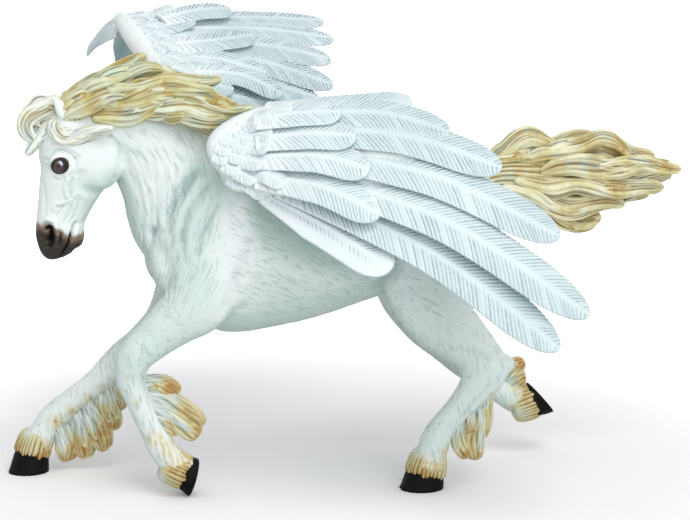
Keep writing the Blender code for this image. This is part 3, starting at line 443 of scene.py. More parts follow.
# Folds that reach below this height are carved on the near side only, as the far legs stand elsewhere
NEAR_FOLD_TOP = 55.0
BODY_LINES = (
    (((-41.6, 98.4), (-46.2, 94.4), (-50.6, 89.4), (-53.8, 83.0), (-54.6, 76.0)), 2.6, 0.8),
    (((-40.6, 96.6), (-44.9, 92.6), (-48.9, 88.0), (-51.3, 81.6), (-51.9, 75.0)), 1.8, -0.75),
    (((-39.8, 94.4), (-44.2, 89.8), (-48.2, 84.6), (-50.0, 78.0), (-50.2, 72.0)), 1.3, 0.95),
    (((-38.9, 92.0), (-43.4, 86.6), (-46.9, 81.0), (-48.4, 74.6), (-48.4, 69.0)), 1.8, -0.7),
    (((-38.0, 89.0), (-41.6, 83.0), (-44.6, 76.6), (-46.2, 70.4)), 1.5, 0.75),
    (((-36.6, 86.6), (-39.4, 81.0), (-41.8, 75.0)), 1.8, -0.4),
    (((-60.0, 80.0), (-56.6, 74.0), (-54.2, 67.6), (-54.6, 61.6)), 2.6, 0.8),
    (((-47.4, 66.6), (-49.6, 63.6), (-52.4, 61.2)), 0.9, 0.55),
    (((-45.0, 66.6), (-49.8, 60.8), (-54.4, 56.4), (-58.8, 52.6)), 1.3, 0.5),
    (((-43.2, 63.4), (-48.2, 57.8), (-53.8, 52.6)), 1.9, -0.35),
    (((-31.8, 80.0), (-33.2, 73.0), (-34.6, 66.0), (-37.2, 58.4), (-41.0, 53.0)), 3.0, 0.8),
    (((-29.6, 66.0), (-30.2, 60.0), (-32.6, 54.4)), 2.2, 0.4),
    (((3.4, 57.8), (7.6, 61.6), (10.2, 66.8), (11.0, 72.6)), 2.8, 1.1),
    (((8.4, 58.2), (13.6, 60.6), (19.6, 61.2), (25.0, 59.6)), 2.4, 0.5),
    (((14.0, 72.0), (20.0, 66.0), (28.0, 60.0), (35.0, 52.0)), 3.0, 0.35),
    (((42.6, 44.6), (38.8, 48.0), (35.6, 51.8)), 1.6, 0.55),
    (((27.4, 41.6), (31.8, 41.6), (36.0, 38.8), (40.6, 37.6)), 1.5, 0.5),
    (((33.6, 44.4), (37.6, 41.4), (42.4, 41.0)), 1.6, -0.4),
    (((40.4, 33.0), (36.0, 27.6), (31.4, 22.4), (28.4, 17.8)), 1.3, 0.65),
    (((37.4, 31.8), (33.0, 26.4), (28.8, 21.6)), 1.2, -0.3),
    (((-62.2, 39.6), (-60.4, 31.0), (-57.4, 23.4)), 1.1, 0.4),
    (((-66.8, 45.0), (-67.4, 41.8), (-66.0, 39.0)), 1.3, 0.32),
    (((-63.4, 46.0), (-62.6, 42.4), (-63.4, 39.0)), 1.2, 0.28),
    (((-26.0, 76.0), (-17.0, 72.6), (-6.0, 68.6)), 3.8, 0.4),
    (((-24.0, 70.0), (-15.0, 66.6), (-4.0, 63.0)), 3.6, 0.3),
)
# Long grooves of the neck, fanned out between these two lines and the next
NECK_FANS = (
    (((-66.0, 103.0), (-63.4, 94.0), (-61.2, 86.0), (-60.2, 76.0), (-59.4, 68.0)),
     ((-59.0, 107.0), (-56.0, 99.0), (-54.6, 91.0), (-55.8, 82.0), (-56.6, 74.0)), 15),
    (((-59.0, 107.0), (-56.0, 99.0), (-54.6, 91.0), (-55.8, 82.0), (-56.6, 74.0)),
     ((-46.0, 108.0), (-43.0, 102.0), (-43.4, 97.0), (-46.4, 92.0), (-50.6, 86.6)), 14),
    (((-72.0, 106.4), (-67.6, 103.0), (-64.6, 96.0), (-62.8, 89.0)),
     ((-66.0, 108.4), (-61.6, 103.0), (-58.6, 97.0), (-57.0, 90.0)), 7),
)

# Ochre patches on the legs: centre, reach and strength
OCHRE_SPOTS = (
    ((-84.0, 20.0, 15.5), 5.0, 0.75),
    ((-79.0, 19.0, 19.0), 4.8, 0.7),
    ((-74.5, 18.0, 22.5), 4.4, 0.6),
    ((-70.0, 17.0, 26.0), 4.0, 0.45),
    ((-66.5, 17.0, 29.5), 3.4, 0.3),
    ((-58.0, -14.0, 18.0), 5.0, 0.75),
    ((-54.5, -13.0, 15.0), 5.0, 0.75),
    ((-53.0, -13.0, 10.0), 5.0, 0.7),
    ((-66.0, -16.0, 38.0), 2.2, 0.5),
    ((-63.4, -15.0, 30.0), 2.2, 0.45),
    ((26.0, -20.0, 11.0), 4.5, 0.6),
    ((41.0, -19.0, 27.0), 5.0, 0.35),
    ((34.0, -19.0, 20.0), 4.0, 0.3),
    ((57.0, 10.0, 15.0), 6.0, 0.7),
)
# The upper edge of the dark muzzle in the side view, from the lips back
MUZZLE_EDGE = (
    (-92.0, 80.4),
    (-89.6, 80.2),
    (-85.7, 79.6),
    (-82.9, 78.0),
    (-80.2, 76.6),
    (-76.5, 76.6),
    (-72.0, 76.6),
)
# Lines in the side view along which painted shade darkens the skin
SHOULDER_SHADE = ((-42.0, 92.0), (-47.0, 82.0), (-49.0, 72.0), (-47.0, 62.0))
UNDER_WING_SHADE = ((-33.0, 90.0), (-24.0, 82.0), (-8.0, 74.0), (4.0, 70.0))
THROAT_SHADE = ((-68.0, 92.0), (-64.5, 84.0), (-61.5, 72.0), (-59.0, 60.0))

# Hair strokes: how many, then the region's least and greatest x and z, and their length, radius and depth
FAR_AWAY = 1000.0
STROKES = (
    (1900, (-38.0, FAR_AWAY, 48.0, FAR_AWAY), 4.4, 0.6, 0.13),
    (700, (-66.0, -38.0, 48.0, FAR_AWAY), 4.6, 0.6, 0.09),
    (1300, (-FAR_AWAY, FAR_AWAY, 4.0, 50.0), 3.8, 0.6, 0.1),
    (260, (-FAR_AWAY, -66.0, 74.0, FAR_AWAY), 1.8, 0.3, 0.06),
)

# Which way the hair of the neck and shoulder lies: lines from the mane down to the chest, throat first
NECK_FLOW = (
    ((-68.6, 93.0), (-65.6, 86.0), (-63.6, 76.0), (-61.6, 64.0), (-60.0, 52.0)),
    ((-71.0, 104.0), (-62.0, 96.0), (-58.6, 84.0), (-57.0, 70.0), (-57.4, 56.0)),
    ((-62.0, 109.0), (-54.0, 100.0), (-51.0, 88.0), (-52.0, 74.0), (-55.4, 60.0)),
    ((-50.0, 109.0), (-44.0, 100.0), (-43.0, 88.0), (-46.0, 74.0), (-52.0, 58.0)),
    ((-40.0, 107.0), (-35.0, 97.0), (-35.0, 84.0), (-39.0, 70.0), (-46.0, 56.0)),
)
# Eyes: middle of the ball, the way it looks, and 1 for the left side or -1 for the right
EYES = (
    ((-83.25, -8.25, 97.3), (-0.30, -0.95, 0.06), 1),
    ((-83.25, 6.25, 97.3), (-0.30, 0.95, 0.06), -1),
)


def srgb(red, green, blue):
    """A colour given as it looks on a screen, from 0 to 255, as the shader takes it."""
    found = []
    for value in (red, green, blue):
        share = value / 255
        found.append(share / 12.92 if share <= 0.04045 else ((share + 0.055) / 1.055) ** 2.4)
    return (*found, 1.0)


def unit(vectors):
    vectors = np.asarray(vectors, float)
    return vectors / np.maximum(np.linalg.norm(vectors, axis=-1, keepdims=True), 1e-9)


def ramp(low, high, values):
    """0 at low and 1 at high, easing at both ends."""
    share = np.clip((values - low) / (high - low), 0, 1)
    return share * share * (3 - 2 * share)


def spline(rows, places):
    """Points on the smooth curve through the rows. Places run from 0 at the first row to 1 at the last."""
    rows = np.asarray(rows, float)
    last = len(rows) - 1
    at = np.clip(np.asarray(places, float), 0, 1) * last
    span = np.minimum(at.astype(int), last - 1)
    t = (at - span)[:, None]
    a = rows[np.maximum(span - 1, 0)]
    b = rows[span]
    c = rows[span + 1]
    d = rows[np.minimum(span + 2, last)]
    bend = 2 * a - 5 * b + 4 * c - d
    return 0.5 * (2 * b + (c - a) * t + bend * t * t + (3 * b - a - 3 * c + d) * t ** 3)


def directions(points):
    ahead = np.vstack([points[1:], points[-1:]])
    behind = np.vstack([points[:1], points[:-1]])
    return unit(ahead - behind)


def run_along(line):
    """How far along the line each of its points lies."""
    return np.concatenate([[0.0], np.cumsum(np.linalg.norm(np.diff(line, axis=0), axis=1))])


def angles(count):
    return 2 * np.pi * np.arange(count) / count


def crossways(along, across):
    """The two directions at right angles to a course: one of depth, and one near the across direction."""
    depth = unit(np.cross(along, across))
    return depth, unit(np.cross(depth, along))


class Pile:
    """The points and faces gathered for one piece, with named numbers on every point."""

    def __init__(self, *kinds):
        self.points = []
        self.quads = []
        self.tris = []
        self.numbers = {kind: [] for kind in kinds}
        self.count = 0

    def add(self, rings, **numbers):
        """Adds a stack of rings, closed into a solid. A number is one value, or one for each ring point."""
        rows, sides = rings.shape[:2]
        first = np.arange(rows - 1)[:, None] * sides
        here = np.arange(sides)
        there = (here + 1) % sides
        quads = np.stack([first + here, first + there, first + sides + there, first + sides + here], -1)
        quads = quads.reshape(-1, 4)
        points = np.vstack([rings.reshape(-1, 3), rings[0].mean(0), rings[-1].mean(0)])
        last = (rows - 1) * sides
        start = np.full(sides, rows * sides)
        tris = np.vstack([
            np.stack([there, here, start], -1),
            np.stack([last + here, last + there, start + 1], -1),
        ])
        corners = np.vstack([quads[:, :3], quads[:, [0, 2, 3]], tris])
        a, b, c = (points[corners[:, k]] - points[0] for k in range(3))
        if np.einsum("ij,ij->", a, np.cross(b, c)) < 0:
            quads = quads[:, ::-1]
            tris = tris[:, ::-1]
        self.points.append(points)
        self.quads.append(quads + self.count)
        self.tris.append(tris + self.count)
        for kind, gathered in self.numbers.items():
            value = np.broadcast_to(np.asarray(numbers.get(kind, 0.0), float), (rows, sides))
            gathered.append(np.concatenate([value.ravel(), [value[0].mean(), value[-1].mean()]]))
        self.count += len(points)

    def mesh(self, name):
        data = bpy.data.meshes.new(name)
        points = (np.vstack(self.points) + SHIFT) * MM
        faces = np.vstack(self.quads).tolist() + np.vstack(self.tris).tolist()
        data.from_pydata(points.tolist(), [], faces)
        for kind, gathered in self.numbers.items():
            put_numbers(data, kind, np.concatenate(gathered))
        return data


def put_numbers(data, kind, values):
    attribute = data.attributes.new(kind, "FLOAT", "POINT")
    attribute.data.foreach_set("value", np.asarray(values, np.float32))


def place_piece(name, data, material):
    """Puts a mesh in the scene as a painted piece of the figure."""
    data.name = name
    data.polygons.foreach_set("use_smooth", np.ones(len(data.polygons), bool))
    data.materials.clear()
    data.materials.append(material)
    piece = bpy.data.objects.new(name, data)
    bpy.context.scene.collection.objects.link(piece)
    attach(piece, "root")
    return piece


def tube_rings(centres, across, half_depths, half_widths, sides, turn=None, swell=None):
    """Elliptic rings along a line, half widths being measured along the across direction."""
    depth, side = crossways(directions(centres), across)
    if turn is not None:
        cosine, sine = np.cos(turn)[:, None], np.sin(turn)[:, None]
        depth, side = depth * cosine + side * sine, side * cosine - depth * sine
    angle = angles(sides)
    a = np.asarray(half_depths)[:, None] * np.cos(angle)
    b = np.asarray(half_widths)[:, None] * np.sin(angle)
    if swell is not None:
        a = a * swell
        b = b * swell
    return centres[:, None] + depth[:, None] * a[..., None] + side[:, None] * b[..., None]


def add_loft(pile, stations, across=ACROSS_HORSE, sides=32, steps=8):
    """A rounded body through its stations."""
    rows = spline(stations, np.linspace(0, 1, (len(stations) - 1) * steps + 1))
    pile.add(tube_rings(rows[:, :3], np.array(across), rows[:, 3], rows[:, 4], sides))


def add_mass(pile, centre, half_axes, turn):
    """An ellipsoid, turned about y."""
    height = np.sin(np.linspace(-0.5, 0.5, 17) * np.pi * 0.98)
    reach = np.sqrt(1 - height ** 2)
    angle = angles(28)
    x = reach[:, None] * np.cos(angle) * half_axes[0]
    y = reach[:, None] * np.sin(angle) * half_axes[1]
    z = np.broadcast_to(height[:, None], x.shape) * half_axes[2]
    c, s = math.cos(math.radians(turn)), math.sin(math.radians(turn))
    pile.add(np.stack([centre[0] + x * c + z * s, centre[1] + y, centre[2] - x * s + z * c], -1))


def add_ear(pile, base, tip, half_width):
    shares = np.array([0.0, 0.15, 0.3, 0.45, 0.6, 0.75, 0.88, 1.0])
    sizes = np.array([0.9, 1.0, 1.0, 0.95, 0.8, 0.6, 0.4, 0.18]) * half_width
    centres = np.array(base) + (np.array(tip) - np.array(base)) * shares[:, None]
    pile.add(tube_rings(centres, np.array([1.0, 0.4, 0.0]), sizes * 0.6, sizes, 20))


def fused_skin(pile, voxel):
    """One even skin round all the solids of a pile, as a mesh."""
    rough = bpy.data.objects.new("rough", pile.mesh("rough"))
    bpy.context.scene.collection.objects.link(rough)
    fuse = rough.modifiers.new("fuse", "REMESH")
    fuse.mode = "VOXEL"
    fuse.voxel_size = voxel * MM
    bpy.context.view_layer.update()
    graph = bpy.context.evaluated_depsgraph_get()
    data = bpy.data.meshes.new_from_object(rough.evaluated_get(graph))
    bpy.data.objects.remove(rough, do_unlink=True)
    return data


def points_of(data):
    points = np.empty(len(data.vertices) * 3, np.float32)
    data.vertices.foreach_get("co", points)
    return points.reshape(-1, 3).astype(float) / MM - SHIFT


def put_points(data, points):
    data.vertices.foreach_set("co", ((points + SHIFT) * MM).astype(np.float32).ravel())
    data.update()


def normals_of(data):
    found = np.empty(len(data.vertices) * 3, np.float32)
    data.vertex_normals.foreach_get("vector", found)
    return found.reshape(-1, 3).astype(float)


def edges_of(data):
    edges = np.empty(len(data.edges) * 2, np.int32)
    data.edges.foreach_get("vertices", edges)
    return edges.reshape(-1, 2)


def neighbour_mean(values, edges):
    """For each point, the mean of the values at the points it is joined to."""
    values = values if values.ndim == 2 else values[:, None]
    size = len(values)
    count = np.maximum(np.bincount(edges.ravel(), minlength=size), 1)
    first, second = edges.T
    total = np.stack([
        np.bincount(first, column[second], size) + np.bincount(second, column[first], size)
        for column in values.T
    ], -1)
    return total / count[:, None]


def relaxed(points, edges, passes, share=0.5):
    for _ in range(passes):
        points = points + (neighbour_mean(points, edges) - points) * share
    return points


def keep_outside(data):
    """Removes crumbs and the walls of closed pockets, keeping the largest shell."""
    mesh = bmesh.new()
    mesh.from_mesh(data)
    unseen = set(mesh.verts)
    shells = []
    while unseen:
        start = unseen.pop()
        shell = [start]
        front = [start]
        while front:
            vertex = front.pop()
            for edge in vertex.link_edges:
                other = edge.other_vert(vertex)
                if other in unseen:
                    unseen.discard(other)
                    shell.append(other)
                    front.append(other)
        shells.append(shell)
    shells.sort(key=len)
    for shell in shells[:-1]:
        bmesh.ops.delete(mesh, geom=shell, context="VERTS")
    mesh.to_mesh(data)
    mesh.free()


def refine(data, inside):
    """Splits the faces in a region once more. inside says of a point in millimetres whether it is there."""
    mesh = bmesh.new()
    mesh.from_mesh(data)
    here = {vertex for vertex in mesh.verts if inside(Vector(vertex.co / MM) - Vector(SHIFT))}
    chosen = [edge for edge in mesh.edges if here.issuperset(edge.verts)]
    bmesh.ops.subdivide_edges(mesh, edges=chosen, cuts=1, use_grid_fill=True, smooth=0.0)
    mesh.to_mesh(data)
    mesh.free()


def line_distance(places, line):
    """Distance of each place from a line of straight spans, in as many dimensions as both have."""
    nearest = np.full(len(places), np.inf)
    for start, end in zip(line[:-1], line[1:]):
        span = end - start
        share = np.clip((places - start) @ span / max(span @ span, 1e-9), 0, 1)
        away = places - start - share[:, None] * span
        nearest = np.minimum(nearest, np.linalg.norm(away, axis=1))
    return nearest


class Clay:
    """A skin while it is being carved: points, outward directions, and how much wash its grooves hold."""

    def __init__(self, data):
        self.data = data
        self.points = points_of(data)
        self.edges = edges_of(data)
        self.normals = normals_of(data)
        self.wash = np.zeros(len(self.points))

    def carve(self, line, radius, depth, side, middle=-1.0, fade=False, wash=1.0):
        """Carves along a line of the side view. side is -1 for the left of the horse, 1 for the right."""
        line = spline(line, np.linspace(0, 1, 5 * len(line)))
        low = line.min(0) - radius
        high = line.max(0) + radius
        x, z = self.points[:, 0], self.points[:, 2]
        near = (x > low[0]) & (x < high[0]) & (z > low[1]) & (z < high[1])
        near &= ((self.points[:, 1] - middle) * side > 0) & (self.normals[:, 1] * side > 0)
        picked = np.flatnonzero(near)
        if not len(picked):
            return
        places = self.points[picked][:, [0, 2]]
        away = line_distance(places, line)
        facing = ramp(0.02, 0.4, self.normals[picked, 1] * side)
        weight = np.clip(1 - (away / radius) ** 2, 0, 1) ** 2 * facing
        if fade:
            whole = line[-1] - line[0]
            share = (places - line[0]) @ unit(whole) / max(np.linalg.norm(whole), 1e-9)
            weight = weight * np.clip(share * 6, 0, 1) * np.clip((1 - share) * 6, 0, 1)
        self.points[picked] -= self.normals[picked] * (depth * weight)[:, None]
        if depth > 0:
            self.wash[picked] = np.maximum(self.wash[picked], weight ** 2 * min(depth, 0.9) * 0.6 * wash)

    def settle(self):
        """Works out the outward directions again after carving."""
        put_points(self.data, self.points)
        self.normals = normals_of(self.data)

    def hatch(self, rng, count, region, length, radius, depth):
        """Short hair strokes scattered over a region of the side view."""
        tree = KDTree(len(self.points))
        for i, point in enumerate(self.points):
            tree.insert(point, i)
        tree.balance()
        low_x, high_x, low_z, high_z = region
        x, z = self.points[:, 0], self.points[:, 2]
        allowed = np.flatnonzero((x > low_x) & (x <= high_x) & (z > low_z) & (z <= high_z))
        if not len(allowed):
            return
        offset = np.zeros(len(self.points))
        for start in rng.choice(allowed, count):
            begin = self.points[start]
            normal = self.normals[start]
            course = hair_heading(begin) + rng.normal(0, 0.10, 3)
            course = unit(course - normal * (course @ normal))
            size = length * rng.uniform(0.6, 1.3)
            middle = begin + course * size * 0.5
            found = tree.find_range(middle, size * 0.5 + radius)
            if not found:
                continue
            picked = np.array([item[1] for item in found])
            apart = self.points[picked] - begin
            run = apart @ course
            away = np.linalg.norm(apart - run[:, None] * course - np.outer(apart @ normal, normal), axis=1)
            ends = np.clip(run / (0.25 * size), 0, 1) * np.clip((size - run) / (0.35 * size), 0, 1)
            weight = np.clip(1 - (away / radius) ** 2, 0, 1) * ends * (self.normals[picked] @ normal > 0.5)
            offset[picked] = np.maximum(offset[picked], weight * rng.uniform(0.6, 1.0))
        self.points -= self.normals * (offset * depth)[:, None]
        self.wash = np.maximum(self.wash, offset * 0.34)

    def hollows(self, fine, broad):
        """How deep each point lies in a fine groove or a broad crease, from 0 to 1."""
        mean = neighbour_mean(self.points, self.edges)
        close = np.einsum("ij,ij->i", mean - self.points, self.normals)
        close = neighbour_mean(close, self.edges)[:, 0]
        flat = relaxed(self.points, self.edges, 26)
        wide = np.einsum("ij,ij->i", flat - self.points, self.normals)
        wide = neighbour_mean(wide, self.edges)[:, 0]
        return np.clip(np.clip(close / fine, 0, 1) * 0.7 + np.clip(wide / broad, 0, 1) * 0.75, 0, 1)


# Places across a feather, as shares of its half width: on its upper face, then back along its under face
HALF_TOP = (0.08, 0.16, 0.27, 0.39, 0.52, 0.65, 0.78, 0.89, 0.965, 1.0)
HALF_BELOW = (0.14, 0.4, 0.65, 0.9)
ACROSS_TOP = np.array([-place for place in reversed(HALF_TOP)] + [0.0, *HALF_TOP])
ACROSS_BELOW = np.array([*reversed(HALF_BELOW), 0.0] + [-place for place in HALF_BELOW])


def add_feather(pile, feather, facing, seed, lift=FEATHER_LIFT, spacing=BARB_SPACING, depth=BARB_DEPTH,
                thickness=FEATHER_THICKNESS, plain_tip=0.0, skew=0.95, out=0.0, edge_sag=0.42, shaft=0.42,
                root_width=0.75, bare=0, stain=1.0, white=0.0, widen=1.0):
    """A feather as a closed blade whose rows follow its barbs, so that each barb is a ridge."""
    rng = np.random.default_rng(seed)
    root, middle, tip, half_width = feather
    half_width = half_width * widen
    facing = unit(np.array(facing, float))
    line = spline((root, middle, tip), np.linspace(0, 1, 140)) + facing * out
    run = run_along(line)
    length = run[-1]
    barbs = max(int(length / spacing), 5)
    rows = barbs * ROWS_PER_BARB + 1
    at = np.linspace(0, length, rows)
    across = np.concatenate([ACROSS_TOP, ACROSS_BELOW])
    above = np.concatenate([np.ones(len(ACROSS_TOP), bool), np.zeros(len(ACROSS_BELOW), bool)])
    easing = np.clip(at / (1.2 * half_width), 0, 1) * np.clip((length - at) / (1.7 * half_width), 0, 1)
    place = at[:, None] + skew * np.abs(across) * half_width * easing[:, None]
    place = np.clip(place, 0, length)

    def along_line(values):
        return np.stack([np.interp(place, run, values[:, k]) for k in range(3)], -1)

    course = directions(line)
    side = unit(np.cross(facing, course))
    side = unit(side + facing * lift)
    up = unit(np.cross(course, side))
    share = place / length
    rising = root_width + (1 - root_width) * np.clip(share / 0.4, 0, 1)
    tip_zone = min(max(1.1 * half_width / length, 0.24), 0.7)
    closing = np.sqrt(np.clip(1 - np.clip((share - 1 + tip_zone) / tip_zone, 0, 1) ** 2.6, 0, 1))
    width = np.maximum(half_width * rising * closing, 0.12)

    number = np.arange(rows) // ROWS_PER_BARB
    phase = (np.arange(rows) % ROWS_PER_BARB) / ROWS_PER_BARB
    cut = np.clip(1 - np.minimum(phase, 1 - phase) / 0.34, 0, 1)
    strength = rng.uniform(0.55, 1.1, (barbs + 2, 2))
    strength[rng.random((barbs + 2, 2)) < 0.1] *= 0.3
    by_side = np.where(across[None, :] < 0, strength[number][:, [0]], strength[number][:, [1]])
    size = np.abs(across)[None, :]
    reach = ramp(0.07, 0.26, size) * (1 - 0.55 * ramp(0.9, 1.0, size))
    calm = 1 - plain_tip * ramp(0.80, 0.93, share)
    groove = cut[:, None] * by_side * reach * calm * np.clip((length - place) / 1.5, 0, 1)
    if bare:
        groove = groove * np.where(across[None, :] * bare > 0, 0.1 + 0.9 * ramp(0.5, 0.2, size), 1.0)

    across_now = across[None, :] * (1 - 0.035 * groove * (size > 0.9))
    round_off = np.sqrt(np.clip(1 - size ** 5, 0, 1))
    shell = 0.5 * thickness * round_off * np.clip(width / (0.35 * half_width), 0.25, 1)
    sag = -edge_sag * size ** 2
    spine = shaft * np.exp(-(across_now * width / 0.45) ** 2) * (1 - 0.7 * share)
    upper = shell + spine - depth * groove
    lower = -shell - 0.5 * spine + 0.7 * depth * groove
    height = np.where(above, upper, lower) + sag
    aside = along_line(side) * (across_now * width)[..., None]
    rings = along_line(line) + aside + along_line(up) * height[..., None]
    stain = stain * (0.45 + 0.55 * ramp(0.05, 0.45, share))
    # The under face is marked, and its paint is darker as painted shade
    pile.add(rings, groove=groove * stain * np.where(above, 1.0, 0.8), under=np.where(above, 0.0, 1.0),
             pale=np.clip(white + 1 - ramp(0.0, 0.5, share), 0, 1))


def add_fan(pile, feathers, facings, seed, plain=(), bare=(), **finish):
    """Feathers side by side, the wing's upper face turning from the first facing to the last."""
    count = max(len(feathers) - 1, 1)
    for i, feather in enumerate(feathers):
        place = i / count * (len(facings) - 1)
        step = min(int(place), len(facings) - 2)
        here, there = np.array(facings[step]), np.array(facings[step + 1])
        facing = here + (there - here) * (place - step)
        add_feather(pile, feather, facing, seed + i, plain_tip=1.0 if i in plain else 0.0,
                    bare=-1 if i in bare else 0, **finish)


def tree_of(*meshes):
    """What rays are cast against: all the faces of some meshes, in millimetres."""
    corners = []
    faces = []
    for data in meshes:
        first = len(corners)
        corners.extend(points_of(data).tolist())
        faces.extend([first + k for k in face.vertices] for face in data.polygons)
    return BVHTree.FromPolygons(corners, faces)


def laid(tree, x, z, guess, inward, sink):
    """The point of the surface under x and z, reached along the inward direction, sunk or raised a little."""
    inward = Vector(inward).normalized()
    start = Vector((x, guess, z)) - inward * 14
    found = tree.ray_cast(start, inward, 40)
    point = found[0] if found[0] else Vector((x, guess, z))
    return np.array(point + inward * sink)


def add_small_feathers(pile, feathers, tree, facing, guess, seed, **finish):
    """Small feathers laid on the surface below them. guess gives the y to look near for a height z."""
    inward = -np.array(facing)
    for i, ((root_x, root_z), (tip_x, tip_z), half_width) in enumerate(feathers):
        root = laid(tree, root_x, root_z, guess(root_z), inward, 0.35)
        tip = laid(tree, tip_x, tip_z, guess(tip_z), inward, -0.35)
        middle = (root + tip) / 2
        under = laid(tree, middle[0], middle[2], guess(middle[2]), inward, -0.15)
        middle = (middle + under) / 2 - inward * 0.1
        add_feather(pile, (root, middle, tip, half_width), facing, seed + i, **finish)


def lock_size(shape, share, run, turn):
    """How wide a lock is along its way, as a share of its half width."""
    if shape == "petal":
        closing = np.sqrt(1 - np.clip((share - 0.6) / 0.4, 0, 1) ** 2.0)
        return (0.6 + 0.4 * np.clip(share / 0.55, 0, 1)) * closing
    if shape == "strand":
        return (0.15 + 0.85 * np.clip(share * 3.5, 0, 1)) * (1 - share ** 2.4) ** 0.7
    size = (0.25 + 0.75 * np.clip(share * 4.5, 0, 1) ** 0.8) * (1 - share ** 9) ** 0.5
    return size * (1 - 0.42 * share) * (1 + 0.07 * np.sin(2 * np.pi * run / 11.0 + turn))


def add_lock(pile, points, half_width, seed, ridges=14, sides=46, rows=42, flat=0.6, depth=0.24, wave=0.3,
             twist=0.45, shape="lock", across=ACROSS_HORSE, tint=0.5, start=0.0, end=1.0, offset=(0.0, 0.0)):
    """A lock of hair: a flattened ribbon with combed grooves, waving and turning a little as it goes."""
    rng = np.random.default_rng(seed)
    share = np.linspace(0, 1, rows) ** 0.9
    line = spline(points, start + (end - start) * share)
    run = run_along(line)
    across = np.array(across, float)
    depth_way, side_way = crossways(directions(line), across)
    lean, sway, turn, slide = rng.uniform(0, 2 * np.pi, 4)
    ease = np.clip(share * 4, 0, 1)
    swing = wave * half_width * ease * np.sin(2 * np.pi * run / rng.uniform(20.0, 30.0) + lean)
    rock = 0.6 * wave * half_width * ease * np.sin(2 * np.pi * run / rng.uniform(16.0, 26.0) + sway)
    leave = 1 - 0.6 * (1 - ease)
    line = line + depth_way * (swing + offset[0] * leave)[:, None]
    line = line + side_way * (rock + offset[1] * leave)[:, None]
    size = half_width * np.maximum(lock_size(shape, share, run, turn), 0.1)
    angle = angles(sides)
    drift = 1.4 * np.sin(2 * np.pi * 0.7 * share + slide) + 0.8 * np.sin(2 * np.pi * 1.7 * share + turn)
    spread = 1.3 * np.sin(3 * angle + lean)[None, :] + 0.9 * np.sin(2 * angle[None, :] + 4 * share[:, None])
    comb = 0.5 + 0.5 * np.cos(ridges * angle[None, :] + drift[:, None] + spread)
    groove = np.clip(1 - comb / 0.5, 0, 1)
    groove = groove * (0.45 + 0.55 * np.sin(2.5 * angle[None, :] + 6 * share[:, None] + sway) ** 2)
    groove = groove * np.clip(share * 8, 0.3, 1)[:, None] * np.clip((1 - share) * 9, 0, 1)[:, None]
    # Broad hollows run along the ribbon beside its grooves, though not on a petal
    hollow = 0.0 if shape == "petal" else 0.16
    trough = hollow * np.cos(3 * angle[None, :] + 2.2 * share[:, None] + slide)
    turned = twist * np.sin(2 * np.pi * 0.6 * share + turn)
    rings = tube_rings(line, across, size * 1.1, size * flat, sides, turned, 1 + trough - depth * groove)
    rim = np.abs(np.cos(angle))[None, :] ** 5 if shape == "petal" else 0.0
    shade = tint + 0.22 * np.sin(2 * np.pi * run / 13.0 + slide)[:, None]
    pile.add(rings, groove=np.clip(groove - 2.2 * trough, 0, 1), rim=rim, tint=shade, tip=share[:, None])


def add_hair(pile, locks, seed, strands, tint=0.5, swell=1.16, **look):
    """Main locks, each with narrower and more pointed strands lying over and beside it."""
    rng = np.random.default_rng(seed)
    for i, (points, half_width) in enumerate(locks):
        lock_tint = tint + rng.uniform(-0.15, 0.15)
        add_lock(pile, points, half_width * swell, seed + 31 * i, tint=lock_tint, **look)
        for k in range(strands):
            turn = 2 * np.pi * (k + rng.uniform(0, 0.7)) / strands
            away = half_width * rng.uniform(0.5, 0.8)
            add_lock(pile, points, half_width * rng.uniform(0.4, 0.62), seed + 31 * i + k + 7,
                     ridges=6, sides=22, rows=36, flat=0.6, depth=0.26, wave=0.5, twist=0.6, shape="strand",
                     tint=tint + rng.uniform(-0.3, 0.25),
                     start=rng.uniform(0.0, 0.35), end=rng.uniform(0.68, 0.94),
                     offset=(away * math.cos(turn), away * 0.6 * math.sin(turn)))


def add_hair_core(pile, stations, seed, ridges=30, sides=96, rows=60, depth=0.07, tint=0.4):
    """The grooved body of hair that the locks lie on."""
    rng = np.random.default_rng(seed)
    share = np.linspace(0, 1, rows)
    line = spline(stations, share)
    angle = angles(sides)
    lean, slide = rng.uniform(0, 2 * np.pi, 2)
    drift = 1.6 * np.sin(2 * np.pi * 1.3 * share + slide)[:, None]
    drift = drift + 0.9 * np.sin(2 * angle + 5 * share[:, None] + lean)
    comb = 0.5 + 0.5 * np.cos(ridges * angle[None, :] + drift)
    groove = np.clip(1 - comb / 0.6, 0, 1)
    rings = tube_rings(line[:, :3], ACROSS_HORSE, line[:, 3], line[:, 4], sides, None, 1 - depth * groove)
    pile.add(rings, groove=groove, tip=0.3, tint=tint + 0.2 * np.sin(6 * share)[:, None])


def add_core_strands(pile, stations, seed, count, half_width, reach):
    """Narrow locks combed over a hair core. reach is the share of a turn by which they leave its top."""
    rng = np.random.default_rng(seed)
    sides = 48
    for k in range(count):
        begin = rng.uniform(0.0, 0.66)
        rows = spline(stations, np.linspace(begin, min(begin + rng.uniform(0.22, 0.36), 1.0), 5))
        rings = tube_rings(rows[:, :3], ACROSS_HORSE, rows[:, 3], rows[:, 4], sides)
        column = int(sides * reach * rng.uniform(-1, 1)) + np.arange(5) * rng.integers(-1, 2)
        points = rings[np.arange(5), column % sides]
        outward = unit(points[2] - rows[2, :3])
        add_lock(pile, points, half_width * rng.uniform(0.7, 1.2), seed + k, ridges=5, sides=18, rows=26,
                 flat=0.55, depth=0.26, wave=0.5, twist=0.3, shape="strand", across=outward,
                 tint=rng.uniform(0.2, 0.8))


